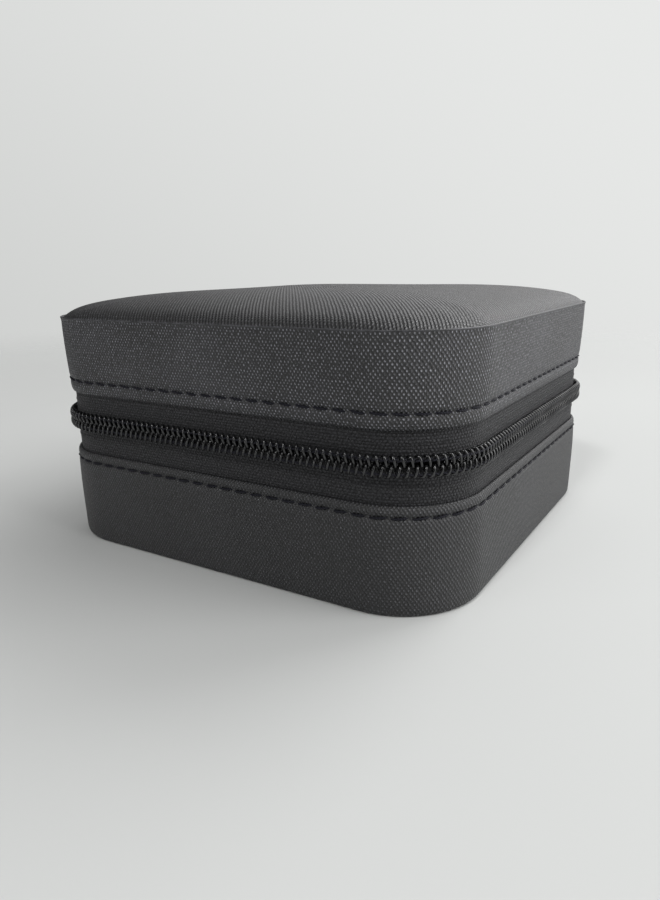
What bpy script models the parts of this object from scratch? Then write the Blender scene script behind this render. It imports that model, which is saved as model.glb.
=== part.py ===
"""Square zip-round jewellery case: a padded lid and a tray, joined at the back by a leather spine.

Metres, +Z up. The origin is the centre of the bottom face. The front is at -Y and the spine at +Y.
"""

import math

import bmesh
import bpy
from mathutils import Vector

# Outside of the case
CASE_SIDE = 0.100
CORNER_RADIUS = 0.017
TRAY_LEATHER_TOP_Z = 0.0208
PARTING_Z = 0.0280
LID_LEATHER_BOTTOM_Z = 0.034
CREASE_Z = 0.0502
CROWN_RISE = 0.0050

# Layers of the wall, from outside to inside
LEATHER = 0.0008
TAPE = 0.0006
BOARD = 0.0022
RIM = 0.0011
LINING = 0.0010
LAYER_GAP = 0.0003
PARTING_GAP = 0.0003
RIM_STEP_DROP = 0.0015
BOTTOM_TURN = 0.0012
LINING_DROP = 0.0006
FOAM_EDGE = 0.0005

# Zip
TAPE_TUCK = 0.0042
COIL_WIDTH = 0.0043
COIL_SPLIT = 0.0010
COIL_PROUD = 0.0009
SPINE_INSET = 0.0020
SPINE_SIDE_GAP = 0.0003
SPINE_LINING = 0.0006
SPINE_LINING_HEIGHT = 0.0100

# Zip slider and its pull
SLIDER_LENGTH = 0.0090
SLIDER_WIDTH = 0.0072
SLIDER_PLATE = 0.0009
SLIDER_LIP = 0.0006
SLIDER_PLAY = 0.0003
SLIDER_POST_LENGTH = 0.0026
SLIDER_INSET = 0.0060
BAIL_LENGTH = 0.0062
BAIL_WIDTH = 0.0016
BAIL_WIRE = 0.0008
BAIL_HEIGHT = 0.0024
BAIL_SINK = 0.0003
PULL_LENGTH = 0.0215
PULL_WIDTH = 0.0056
PULL_THICKNESS = 0.0010
PULL_BAR = 0.0009
PULL_WINDOW_WIDTH = 0.0024
PULL_WINDOW_LENGTH = 0.0042
PULL_GRIP_HOLE = 0.0012
PULL_BEVEL = 0.00025

# Tray inserts
FIT_GAP = 0.0003
TRAY_INSERT_TOP_Z = 0.0200
PARTITION_THICKNESS = 0.0032
PARTITION_Y = -0.0010
RAIL_THICKNESS = 0.0020
RAIL_INSET = 0.0050
DIVIDER_COUNT = 2
DIVIDER_THICKNESS = 0.0020
DIVIDER_BITE = 0.0011
DIVIDER_BEVEL = 0.0004
RING_BED = 0.0015
ROLL_COUNT = 6
ROLL_HEIGHT = 0.0125
ROLL_GAP = 0.0004
ROLL_END_GAP = 0.0008

# Necklace strap in the lid
STRAP_WALL_GAP = 0.0025
STRAP_DEPTH = 0.0050
STRAP_INSET = 0.0010
STRAP_THICKNESS = 0.0010
TAB_COUNT = 3
TAB_LENGTH = 0.0150
TAB_WIDTH = 0.0085
TAB_THICKNESS = 0.0009
STUD_RADIUS = 0.0026
STUD_HEIGHT = 0.0011
STUD_NUB_RADIUS = 0.0010
STUD_NUB_HEIGHT = 0.0007
CAP_RADIUS = 0.0034
CAP_HEIGHT = 0.0010
CAP_FROM_TAB_END = 0.0048

# Gathered pocket in the lid
POCKET_SIDE_GAP = 0.0075
POCKET_BACK_GAP = 0.0045
POCKET_DEPTH = 0.0320
POCKET_CLOTH = 0.0009
POCKET_BULGE = 0.0020
POCKET_FOLD = 0.0006
POCKET_FOLD_COUNT = 11
BAND_DEPTH = 0.0042
BAND_THICKNESS = 0.0013

# Fineness of round shapes
CORNER_STEPS = 8
CROWN_RINGS = 9
CIRCLE_STEPS = 20
ROLL_STATIONS = 12
ROLL_ARC_STEPS = 8
POCKET_STATIONS_PER_FOLD = 4
POCKET_ROWS = 7
BAIL_STEPS = 10

# Shares, chosen by eye, of the sizes that they follow
CROWN_EDGE_SHARE = 0.25
CROWN_EDGE_POWER = 40.0
CROWN_POWER = 4.5
ROLL_END_SHARE = 0.62
ROLL_FOOT_SHARE = 0.86
TURN_SHARES = ((1.0, 0.0), (0.62, 0.08), (0.29, 0.29), (0.08, 0.62), (0.0, 1.0))

# Places that follow from the sizes above
HALF = CASE_SIDE / 2
STRAIGHT = HALF - CORNER_RADIUS
TAPE_OUT = LEATHER + LAYER_GAP
TAPE_IN = TAPE_OUT + TAPE
BOARD_OUT = TAPE_IN + LAYER_GAP
RIM_IN = BOARD_OUT + BOARD
RIM_OUT = RIM_IN - RIM
LINING_OUT = RIM_IN + LAYER_GAP
LINING_IN = LINING_OUT + LINING
ROOM = HALF - LINING_IN
TRAY_RIM_Z = PARTING_Z - PARTING_GAP / 2
LID_RIM_Z = PARTING_Z + PARTING_GAP / 2
TRAY_FLOOR_Z = LEATHER + LAYER_GAP
TRAY_BOARD_Z = TRAY_FLOOR_Z + BOARD
TRAY_LINING_Z = TRAY_BOARD_Z + LAYER_GAP
TRAY_ROOM_Z = TRAY_LINING_Z + LINING
LID_FOAM_FOOT_Z = CREASE_Z - LEATHER - LAYER_GAP - FOAM_EDGE
LID_BOARD_TOP_Z = LID_FOAM_FOOT_Z - LAYER_GAP
LID_BOARD_Z = LID_BOARD_TOP_Z - BOARD
LID_LINING_TOP_Z = LID_BOARD_Z - LAYER_GAP
LID_ROOM_Z = LID_LINING_TOP_Z - LINING
INSERT_Z = TRAY_ROOM_Z + FIT_GAP
PARTITION_FRONT = PARTITION_Y - PARTITION_THICKNESS / 2
PARTITION_BACK = PARTITION_Y + PARTITION_THICKNESS / 2
RAIL_BACK = ROOM - FIT_GAP
RAIL_FRONT = RAIL_BACK - RAIL_THICKNESS
DIVIDER_FRONT = PARTITION_BACK - DIVIDER_BITE
DIVIDER_BACK = RAIL_FRONT + DIVIDER_BITE
DIVIDER_PITCH = 2 * ROOM / (DIVIDER_COUNT + 1)
SPINE_WIDTH = 2 * (STRAIGHT - SPINE_INSET)
ZIP_END_X = SPINE_WIDTH / 2 + SPINE_SIDE_GAP
LEFT = -HALF
SLIDER_REST_Y = STRAIGHT - SLIDER_INSET
RAIL_LENGTH = 2 * (STRAIGHT - RAIL_INSET)
STRAP_Y = STRAP_WALL_GAP + STRAP_DEPTH / 2 - ROOM
STRAP_LENGTH = 2 * (STRAIGHT - STRAP_INSET)
TAB_PITCH = STRAP_LENGTH / TAB_COUNT
POCKET_WIDTH = 2 * (ROOM - POCKET_SIDE_GAP)
POCKET_SEAM_Y = ROOM - POCKET_BACK_GAP
POCKET_MOUTH_Y = POCKET_SEAM_Y - POCKET_DEPTH


def material(name, colour, roughness, metallic=0.0):
    """One Principled BSDF material."""
    made = bpy.data.materials.new(name)
    made.use_nodes = True
    shader = made.node_tree.nodes["Principled BSDF"]
    shader.inputs["Base Color"].default_value = (*colour, 1.0)
    shader.inputs["Roughness"].default_value = roughness
    shader.inputs["Metallic"].default_value = metallic
    return made


def corner(sign_x, sign_y, inset, start_degrees):
    """A quarter turn of the rounded square, anticlockwise from start_degrees."""
    radius = CORNER_RADIUS - inset
    points = []
    for step in range(CORNER_STEPS + 1):
        angle = math.radians(start_degrees) + math.pi / 2 * step / CORNER_STEPS
        x = sign_x * STRAIGHT + radius * math.cos(angle)
        y = sign_y * STRAIGHT + radius * math.sin(angle)
        points.append((x, y))
    return points


def outline(inset):
    """The rounded square, drawn in by inset all round."""
    return (
        corner(-1, -1, inset, 180)
        + corner(1, -1, inset, 270)
        + corner(1, 1, inset, 0)
        + corner(-1, 1, inset, 90)
    )


def zip_run(inset):
    """The way of the zip: round the left, the front and the right, and open at the spine."""
    back = HALF - inset
    return (
        [(-ZIP_END_X, back)]
        + corner(-1, 1, inset, 90)
        + corner(-1, -1, inset, 180)
        + corner(1, -1, inset, 270)
        + corner(1, 1, inset, 0)
        + [(ZIP_END_X, back)]
    )


def ring_at(inset, z):
    return [Vector((x, y, z)) for x, y in outline(inset)]


def finish(name, made, finish_material, smooth_degrees=None):
    """Makes the bmesh an object with outward faces."""
    bmesh.ops.recalc_face_normals(made, faces=made.faces)
    mesh = bpy.data.meshes.new(name)
    made.to_mesh(mesh)
    made.free()
    if smooth_degrees:
        mesh.shade_smooth()
        mesh.set_sharp_from_angle(angle=math.radians(smooth_degrees))
    mesh.materials.append(finish_material)
    obj = bpy.data.objects.new(name, mesh)
    bpy.context.scene.collection.objects.link(obj)
    return obj


def loft(name, loops, finish_material, closed=False, smooth_degrees=40):
    """Joins loops of points in order. A closed loft meets itself, and an open one has end caps."""
    made = bmesh.new()
    rows = [[made.verts.new(point) for point in loop] for loop in loops]
    pairs = list(zip(rows, rows[1:] + rows[:1])) if closed else list(zip(rows, rows[1:]))
    for first, second in pairs:
        count = len(first)
        for i in range(count):
            j = (i + 1) % count
            made.faces.new((first[i], first[j], second[j], second[i]))
    if not closed:
        made.faces.new(rows[0])
        made.faces.new(rows[-1])
    return finish(name, made, finish_material, smooth_degrees)


def wall_ring(name, section, finish_material):
    """A wall all round the case. The section is (inset, z) points of a closed shape."""
    loops = [ring_at(inset, z) for inset, z in section]
    return loft(name, loops, finish_material, closed=True)


def dish(name, section, finish_material):
    """A plate or tub. The section runs from the lower middle, round the edge, to the upper middle."""
    return loft(name, [ring_at(inset, z) for inset, z in section], finish_material)


def zip_strip(name, section, finish_material):
    """A strip along the zip's way. The section is (inset, z) points of a closed shape."""
    ways = [zip_run(inset) for inset, _ in section]
    loops = [
        [Vector((*way[i], z)) for way, (_, z) in zip(ways, section)]
        for i in range(len(ways[0]))
    ]
    return loft(name, loops, finish_material)


def prism(name, points, low_z, high_z, finish_material):
    """An outline in plan, raised from low_z to high_z."""
    loops = [[Vector((x, y, z)) for x, y in points] for z in (low_z, high_z)]
    return loft(name, loops, finish_material, smooth_degrees=None)


def block(name, low, high, finish_material):
    plan = [(low[0], low[1]), (high[0], low[1]), (high[0], high[1]), (low[0], high[1])]
    return prism(name, plan, low[2], high[2], finish_material)


def turned(name, profile, centre, finish_material):
    """A round piece on a vertical axis. The profile is (radius, height) from lower to upper middle."""
    loops = []
    for radius, height in profile:
        ring = []
        for step in range(CIRCLE_STEPS):
            angle = 2 * math.pi * step / CIRCLE_STEPS
            offset = Vector((radius * math.cos(angle), radius * math.sin(angle), height))
            ring.append(Vector(centre) + offset)
        loops.append(ring)
    return loft(name, loops, finish_material)


def apply_modifiers(obj):
    graph = bpy.context.evaluated_depsgraph_get()
    mesh = bpy.data.meshes.new_from_object(obj.evaluated_get(graph))
    obj.modifiers.clear()
    obj.data = mesh
    return obj


def combine(obj, other, operation):
    """A Boolean of two objects, after which the second is gone."""
    step = obj.modifiers.new(operation.lower(), "BOOLEAN")
    step.operation = operation
    step.solver = "EXACT"
    step.object = other
    apply_modifiers(obj)
    bpy.data.objects.remove(other)
    return obj


def bevel(obj, width, segments=2):
    step = obj.modifiers.new("bevel", "BEVEL")
    step.width = width
    step.segments = segments
    step.limit_method = "ANGLE"
    return obj


def about_origin(obj, place):
    """Puts the object's origin at place and leaves its shape where it is."""
    for vertex in obj.data.vertices:
        vertex.co -= Vector(place)
    obj.location = place
    return obj


def room_half_width(y):
    """Half the inside width of the case at depth y, which the round corners take in."""
    radius = CORNER_RADIUS - LINING_IN
    into_corner = min(max(abs(y) - STRAIGHT, 0.0), radius)
    return STRAIGHT + math.sqrt(radius**2 - into_corner**2)


def crown_z(share):
    """Height of the padded top, at a share of the way from middle to edge. It turns up steeply at
    the seam, and then rises slowly."""
    dome = (1 - CROWN_EDGE_SHARE) * (1 - share**CROWN_POWER)
    return CREASE_Z + CROWN_RISE * (dome + CROWN_EDGE_SHARE * (1 - share**CROWN_EDGE_POWER))


def crown_rings(drop, edge_inset):
    """Rings of the domed top, from the middle to the edge, lowered by drop."""
    edge = outline(edge_inset)
    rings = []
    for step in range(1, CROWN_RINGS + 1):
        share = math.sin(math.pi / 2 * step / CROWN_RINGS)
        z = crown_z(share) - drop
        rings.append([Vector((x * share, y * share, z)) for x, y in edge])
    return rings


def make_boards(board):
    """The stiff tub under the tray's leather and the one under the lid's."""
    step_z = TRAY_LEATHER_TOP_Z - RIM_STEP_DROP
    dish(
        "tray_board",
        [
            (BOARD_OUT + BOTTOM_TURN, TRAY_FLOOR_Z),
            (BOARD_OUT, TRAY_FLOOR_Z + BOTTOM_TURN),
            (BOARD_OUT, step_z),
            (RIM_OUT, step_z),
            (RIM_OUT, TRAY_RIM_Z),
            (RIM_IN, TRAY_RIM_Z),
            (RIM_IN, TRAY_BOARD_Z),
        ],
        board,
    )
    step_z = LID_LEATHER_BOTTOM_Z + RIM_STEP_DROP
    dish(
        "lid_board",
        [
            (RIM_IN, LID_BOARD_Z),
            (RIM_IN, LID_RIM_Z),
            (RIM_OUT, LID_RIM_Z),
            (RIM_OUT, step_z),
            (BOARD_OUT, step_z),
            (BOARD_OUT, LID_BOARD_TOP_Z),
        ],
        board,
    )


def make_leather(leather):
    """The covers: both side bands, the bottom panel and the domed top panel."""
    outer = [(BOTTOM_TURN * a, TRAY_FLOOR_Z - LEATHER + BOTTOM_TURN * b) for a, b in TURN_SHARES]
    foot_z = outer[0][1]
    inner_turn = BOTTOM_TURN + LEATHER
    inner = [
        (LEATHER, foot_z + inner_turn),
        (inner_turn, foot_z + LEATHER),
    ]
    wall_ring(
        "tray_side_leather",
        outer + [(0, TRAY_LEATHER_TOP_Z), (LEATHER, TRAY_LEATHER_TOP_Z)] + inner,
        leather,
    )
    panel_inset = inner_turn + LAYER_GAP
    dish("bottom_leather", [(panel_inset, 0), (panel_inset, LEATHER)], leather)
    band_top = CREASE_Z - LEATHER - LAYER_GAP
    wall_ring(
        "lid_side_leather",
        [
            (0, LID_LEATHER_BOTTOM_Z),
            (0, band_top),
            (LEATHER, band_top),
            (LEATHER, LID_LEATHER_BOTTOM_Z),
        ],
        leather,
    )
    loft("lid_top_leather", crown_rings(LEATHER, 0) + crown_rings(0, 0)[::-1], leather)


def make_foam(foam):
    """The pad that gives the lid its dome."""
    inset = LEATHER + LAYER_GAP
    under = ring_at(inset, LID_FOAM_FOOT_Z)
    top = crown_rings(LEATHER + LAYER_GAP, inset)[::-1]
    loft("lid_foam", [under] + top, foam)


def make_zip(tape, nylon):
    """Both halves of the zip: the woven tapes and the runs of coil."""
    middle = PARTING_Z
    edge = COIL_SPLIT / 2
    tuck_low = TRAY_LEATHER_TOP_Z - TAPE_TUCK
    tuck_high = LID_LEATHER_BOTTOM_Z + TAPE_TUCK
    coil_in = TAPE_OUT - LAYER_GAP
    for name, far_z, near_z, coil_far_z in (
        ("tray", tuck_low, middle - edge, middle - COIL_WIDTH / 2),
        ("lid", tuck_high, middle + edge, middle + COIL_WIDTH / 2),
    ):
        zip_strip(
            name + "_zip_tape",
            [(TAPE_OUT, far_z), (TAPE_OUT, near_z), (TAPE_IN, near_z), (TAPE_IN, far_z)],
            tape,
        )
        shoulder = (coil_far_z + near_z) / 2
        half_proud = (coil_in - COIL_PROUD) / 2
        zip_strip(
            name + "_zip_coil",
            [
                (coil_in, coil_far_z),
                (half_proud, coil_far_z),
                (-COIL_PROUD, shoulder),
                (-COIL_PROUD, near_z),
                (coil_in, near_z),
            ],
            nylon,
        )


def make_spine(leather, velvet):
    """The leather that joins tray and lid at the back, and its velvet lining."""
    half = SPINE_WIDTH / 2
    low_z = TRAY_LEATHER_TOP_Z - TAPE_TUCK
    high_z = LID_LEATHER_BOTTOM_Z + TAPE_TUCK
    spine = block(
        "spine_leather", (-half, HALF - TAPE_IN, low_z), (half, HALF - TAPE_OUT, high_z), leather
    )
    about_origin(spine, (0, HALF - TAPE_OUT - LEATHER / 2, PARTING_Z))
    lining_back = HALF - TAPE_IN - LAYER_GAP
    low_z = PARTING_Z - SPINE_LINING_HEIGHT / 2
    high_z = PARTING_Z + SPINE_LINING_HEIGHT / 2
    block(
        "spine_lining", (-half, lining_back - SPINE_LINING, low_z), (half, lining_back, high_z), velvet
    )


def make_slider(metal):
    """The zip's slider, on the left side, with the bail that holds its pull."""
    y = SLIDER_REST_Y
    half_length = SLIDER_LENGTH / 2
    half_width = SLIDER_WIDTH / 2
    outer_face = LEFT - COIL_PROUD - SLIDER_PLAY
    inner_face = LEFT + TAPE_IN + SLIDER_PLAY
    lip_x = LEFT + TAPE_OUT - SLIDER_PLAY
    lip_z = PARTING_Z - COIL_WIDTH / 2 - SLIDER_PLAY
    slider = block(
        "zip_slider",
        (outer_face - SLIDER_PLATE, y - half_length, PARTING_Z - half_width),
        (outer_face, y + half_length, PARTING_Z + half_width),
        metal,
    )
    inner_plate = SLIDER_PLATE - SLIDER_PLAY
    inner = block(
        "slider_inner",
        (inner_face, y - half_length, PARTING_Z - half_width),
        (inner_face + inner_plate, y + half_length, PARTING_Z + half_width),
        metal,
    )
    post_half = (COIL_SPLIT - 2 * SLIDER_PLAY) / 2
    post = block(
        "slider_post",
        (outer_face - SLIDER_PLATE / 2, y + half_length - SLIDER_POST_LENGTH, PARTING_Z - post_half),
        (inner_face + inner_plate / 2, y + half_length, PARTING_Z + post_half),
        metal,
    )
    lip = block(
        "slider_lip",
        (outer_face - SLIDER_PLATE / 2, y - half_length, lip_z - SLIDER_LIP),
        (lip_x, y + half_length, lip_z),
        metal,
    )
    for other in (inner, post, lip, make_bail(outer_face - SLIDER_PLATE, metal)):
        combine(slider, other, "UNION")
    return about_origin(slider, (outer_face, y, PARTING_Z))


def make_bail(face_x, metal):
    """The arch on the slider's face. Its feet sink into the plate, for the union."""
    loops = []
    for step in range(BAIL_STEPS + 1):
        angle = math.pi * step / BAIL_STEPS
        loop = []
        for lift, side in ((0, -1), (1, -1), (1, 1), (0, 1)):
            reach = BAIL_LENGTH / 2 - BAIL_WIRE * (1 - lift)
            height = BAIL_HEIGHT - BAIL_WIRE * (1 - lift)
            x = face_x + BAIL_SINK - (height + BAIL_SINK) * math.sin(angle)
            y = SLIDER_REST_Y + reach * math.cos(angle)
            loop.append(Vector((x, y, PARTING_Z + side * BAIL_WIDTH / 2)))
        loops.append(loop)
    return loft("slider_bail", loops, metal)


def pull_pivot_x():
    """The pull's crossbar lies half way between the slider's face and the arch over it."""
    face_x = LEFT - COIL_PROUD - SLIDER_PLAY - SLIDER_PLATE
    return face_x - (BAIL_HEIGHT - BAIL_WIRE) / 2


def make_pull(metal):
    """The pull lies forward along the zip. Its crossbar is held under the slider's arch."""
    x = pull_pivot_x()
    half_bar = PULL_BAR / 2
    half_thick = PULL_THICKNESS / 2
    half_width = PULL_WIDTH / 2
    back_y = SLIDER_REST_Y + half_bar
    pull = block(
        "zip_pull",
        (x - half_thick, back_y - PULL_LENGTH, PARTING_Z - half_width),
        (x + half_thick, back_y, PARTING_Z + half_width),
        metal,
    )
    window_back = SLIDER_REST_Y - half_bar
    window = block(
        "pull_window",
        (x - PULL_THICKNESS, window_back - PULL_WINDOW_LENGTH, PARTING_Z - PULL_WINDOW_WIDTH / 2),
        (x + PULL_THICKNESS, window_back, PARTING_Z + PULL_WINDOW_WIDTH / 2),
        metal,
    )
    combine(pull, window, "DIFFERENCE")
    hole = turned(
        "pull_hole",
        [(PULL_GRIP_HOLE, -PULL_THICKNESS), (PULL_GRIP_HOLE, PULL_THICKNESS)],
        (0, 0, 0),
        metal,
    )
    hole.rotation_euler = (0, math.pi / 2, 0)
    hole.location = (x, back_y - PULL_LENGTH + 2 * PULL_GRIP_HOLE, PARTING_Z)
    bpy.context.view_layer.update()
    combine(pull, hole, "DIFFERENCE")
    about_origin(pull, (x, SLIDER_REST_Y, PARTING_Z))
    return bevel(pull, PULL_BEVEL, segments=1)


def make_linings(velvet):
    """Velvet-covered boards inside the tray and the lid."""
    dish("tray_floor_lining", [(LINING_OUT, TRAY_LINING_Z), (LINING_OUT, TRAY_ROOM_Z)], velvet)
    dish("lid_ceiling_lining", [(LINING_OUT, LID_ROOM_Z), (LINING_OUT, LID_LINING_TOP_Z)], velvet)
    for name, low_z, high_z in (
        ("tray_wall_lining", TRAY_ROOM_Z + LAYER_GAP, TRAY_RIM_Z - LINING_DROP),
        ("lid_wall_lining", LID_RIM_Z + LINING_DROP, LID_ROOM_Z - LAYER_GAP),
    ):
        wall_ring(
            name,
            [(LINING_OUT, low_z), (LINING_OUT, high_z), (LINING_IN, high_z), (LINING_IN, low_z)],
            velvet,
        )


def divider_places():
    """The middle of each divider across the case."""
    return [-ROOM + DIVIDER_PITCH * (i + 1) for i in range(DIVIDER_COUNT)]


def slotted_plan(low_x, high_x, plain_y, slot_y):
    """A bar in plan with a slot for each divider in its slot_y side."""
    toward = 1 if slot_y > plain_y else -1
    half_slot = DIVIDER_THICKNESS / 2 + FIT_GAP
    floor_y = slot_y - toward * (DIVIDER_BITE + FIT_GAP)
    points = [(low_x, plain_y), (low_x, slot_y)]
    for x in divider_places():
        points += [
            (x - half_slot, slot_y),
            (x - half_slot, floor_y),
            (x + half_slot, floor_y),
            (x + half_slot, slot_y),
        ]
    return points + [(high_x, slot_y), (high_x, plain_y)]


def make_tray_inserts(velvet):
    """The fixed partition, the slotted rail at the back, and the dividers that lift out."""
    half = room_half_width(PARTITION_FRONT) - FIT_GAP
    plan = slotted_plan(-half, half, PARTITION_FRONT, PARTITION_BACK)
    prism("partition", plan, INSERT_Z, TRAY_INSERT_TOP_Z, velvet)
    half = RAIL_LENGTH / 2
    plan = slotted_plan(-half, half, RAIL_BACK, RAIL_FRONT)
    prism("divider_rail", plan, INSERT_Z, TRAY_INSERT_TOP_Z, velvet)
    for number, x in enumerate(divider_places(), 1):
        divider = block(
            f"divider_{number}",
            (x - DIVIDER_THICKNESS / 2, DIVIDER_FRONT, INSERT_Z),
            (x + DIVIDER_THICKNESS / 2, DIVIDER_BACK, TRAY_INSERT_TOP_Z),
            velvet,
        )
        about_origin(divider, (x, (DIVIDER_FRONT + DIVIDER_BACK) / 2, INSERT_Z))
        bevel(divider, DIVIDER_BEVEL)


def roll_section(half_width, height):
    """Half the outline of a roll: a flat foot, drawn-in sides and a round top."""
    foot = half_width * ROLL_FOOT_SHARE
    shoulder = height - half_width
    points = [(foot, 0), (half_width, shoulder / 2)]
    for step in range(ROLL_ARC_STEPS + 1):
        angle = math.pi * step / ROLL_ARC_STEPS
        points.append((half_width * math.cos(angle), shoulder + half_width * math.sin(angle)))
    return points + [(-half_width, shoulder / 2), (-foot, 0)]


def make_ring_cushions(velvet):
    """A board with foam rolls side by side, which hold rings in the slits between them."""
    front = -(ROOM - FIT_GAP)
    back = PARTITION_FRONT - FIT_GAP
    radius = CORNER_RADIUS - LINING_IN - FIT_GAP
    arc = [math.pi / 2 * step / CORNER_STEPS for step in range(CORNER_STEPS + 1)]
    right = [(STRAIGHT + radius * math.sin(a), -STRAIGHT - radius * math.cos(a)) for a in arc]
    left = [(-x, y) for x, y in reversed(right)]
    plan = right + [(right[-1][0], back), (left[0][0], back)] + left
    prism("ring_bed", plan, INSERT_Z, INSERT_Z + RING_BED, velvet)
    pitch = (back - front) / ROLL_COUNT
    half_width = (pitch - ROLL_GAP) / 2
    foot_z = INSERT_Z + RING_BED + FIT_GAP
    for number in range(1, ROLL_COUNT + 1):
        y = front + pitch * (number - 0.5)
        half_length = room_half_width(abs(y) + half_width) - ROLL_END_GAP
        loops = []
        for station in range(ROLL_STATIONS + 1):
            angle = math.pi * station / ROLL_STATIONS
            x = -half_length * math.cos(angle)
            swell = ROLL_END_SHARE + (1 - ROLL_END_SHARE) * math.sqrt(math.sin(angle))
            section = roll_section(half_width * swell, ROLL_HEIGHT * swell)
            loops.append([Vector((x, y + across, foot_z + up)) for across, up in section])
        loft(f"ring_roll_{number}", loops, velvet, smooth_degrees=60)


def tab_places():
    return [TAB_PITCH * (i - (TAB_COUNT - 1) / 2) for i in range(TAB_COUNT)]


def make_necklace_strap(leather, metal):
    """A strap across the lid with tabs that snap shut over a chain."""
    strap_top = LID_ROOM_Z - FIT_GAP
    strap_low = strap_top - STRAP_THICKNESS
    half = STRAP_LENGTH / 2
    front = STRAP_Y - STRAP_DEPTH / 2
    back = STRAP_Y + STRAP_DEPTH / 2
    block("necklace_strap", (-half, front, strap_low), (half, back, strap_top), leather)
    stud_top = LID_ROOM_Z - FIT_GAP
    stud_low = stud_top - STUD_HEIGHT
    tab_top = stud_low - FIT_GAP
    tab_low = tab_top - TAB_THICKNESS
    hinge_y = back + FIT_GAP
    for number, x in enumerate(tab_places(), 1):
        snap_y = hinge_y + TAB_LENGTH - CAP_FROM_TAB_END
        tab = block(
            f"necklace_tab_{number}",
            (x - TAB_WIDTH / 2, hinge_y, tab_low),
            (x + TAB_WIDTH / 2, hinge_y + TAB_LENGTH, tab_top),
            leather,
        )
        nub_room = STUD_NUB_RADIUS + FIT_GAP
        hole = turned(
            "tab_hole",
            [(nub_room, tab_low - FIT_GAP), (nub_room, tab_top + FIT_GAP)],
            (x, snap_y, 0),
            metal,
        )
        combine(tab, hole, "DIFFERENCE")
        about_origin(tab, (x, hinge_y, tab_top))
        turned(
            f"snap_stud_{number}",
            [
                (STUD_NUB_RADIUS, stud_low - STUD_NUB_HEIGHT),
                (STUD_NUB_RADIUS, stud_low),
                (STUD_RADIUS, stud_low),
                (STUD_RADIUS, stud_top),
            ],
            (x, snap_y, 0),
            metal,
        )
        cap_top = tab_low - FIT_GAP
        turned(
            f"snap_cap_{number}",
            [
                (CAP_RADIUS * ROLL_END_SHARE, cap_top - CAP_HEIGHT),
                (CAP_RADIUS, cap_top - CAP_HEIGHT / 2),
                (CAP_RADIUS, cap_top),
            ],
            (x, snap_y, 0),
            metal,
        )


def pocket_lift(across, along):
    """How far the gathered cloth stands off the lining. Both arguments run from 0 to 1, from side to
    side and from the sewn edge to the mouth."""
    from_side = math.sin(math.pi * across) ** 0.5 if 0 < across < 1 else 0.0
    fold = POCKET_FOLD * math.cos(2 * math.pi * POCKET_FOLD_COUNT * across)
    return from_side * math.sin(math.pi / 2 * along) * (POCKET_BULGE + fold)


def make_pocket(cloth, elastic):
    """A gathered pocket on the lid's lining, open towards the front, with an elastic band."""
    seat_z = LID_ROOM_Z - FIT_GAP
    stations = POCKET_FOLD_COUNT * POCKET_STATIONS_PER_FOLD
    depth = POCKET_SEAM_Y - POCKET_MOUTH_Y
    cloth_loops, band_loops = [], []
    for station in range(stations + 1):
        across = station / stations
        x = POCKET_WIDTH * (across - 0.5)
        upper, lower = [], []
        for row in range(POCKET_ROWS + 1):
            along = row / POCKET_ROWS
            y = POCKET_SEAM_Y - depth * along
            z = seat_z - pocket_lift(across, along)
            upper.append(Vector((x, y, z)))
            lower.append(Vector((x, y, z - POCKET_CLOTH)))
        cloth_loops.append(upper + lower[::-1])
        band_top = seat_z - pocket_lift(across, 1.0)
        back = POCKET_MOUTH_Y - FIT_GAP
        front = back - BAND_DEPTH
        low = band_top - BAND_THICKNESS
        band_loops.append(
            [
                Vector((x, back, band_top)),
                Vector((x, front, band_top)),
                Vector((x, front, low)),
                Vector((x, back, low)),
            ]
        )
    loft("lid_pocket", cloth_loops, cloth, smooth_degrees=60)
    loft("pocket_band", band_loops, elastic, smooth_degrees=60)


def main():
    for obj in list(bpy.data.objects):
        bpy.data.objects.remove(obj)
    leather = material("saffiano leather", (0.045, 0.046, 0.050), 0.45)
    velvet = material("charcoal velvet", (0.030, 0.030, 0.033), 0.95)
    board = material("grey board", (0.30, 0.28, 0.26), 0.85)
    foam = material("white foam", (0.75, 0.74, 0.70), 0.90)
    tape = material("woven tape", (0.020, 0.020, 0.022), 0.90)
    nylon = material("black nylon", (0.018, 0.018, 0.020), 0.35)
    black_metal = material("black metal", (0.030, 0.030, 0.032), 0.35, 1.0)
    nickel = material("dark nickel", (0.35, 0.34, 0.33), 0.30, 1.0)
    satin = material("black satin", (0.025, 0.025, 0.028), 0.55)
    elastic = material("black elastic", (0.020, 0.020, 0.022), 0.80)

    make_boards(board)
    make_leather(leather)
    make_foam(foam)
    make_zip(tape, nylon)
    make_spine(leather, velvet)
    make_slider(black_metal)
    make_pull(black_metal)
    make_linings(velvet)
    make_tray_inserts(velvet)
    make_ring_cushions(velvet)
    make_necklace_strap(leather, nickel)
    make_pocket(satin, elastic)


main()
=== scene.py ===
"""Zip-round jewellery case in embossed leather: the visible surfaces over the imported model.

Metres, +Z up. The front is at -Y, the leather spine at +Y. Insets run inward from the outer leather.
"""

import math

import bmesh
import bpy
import numpy as np
from bpy.props import FloatProperty, FloatVectorProperty, IntProperty, PointerProperty
from bpy.types import Operator, Panel, PropertyGroup
from mathutils import Matrix, Vector


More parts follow.
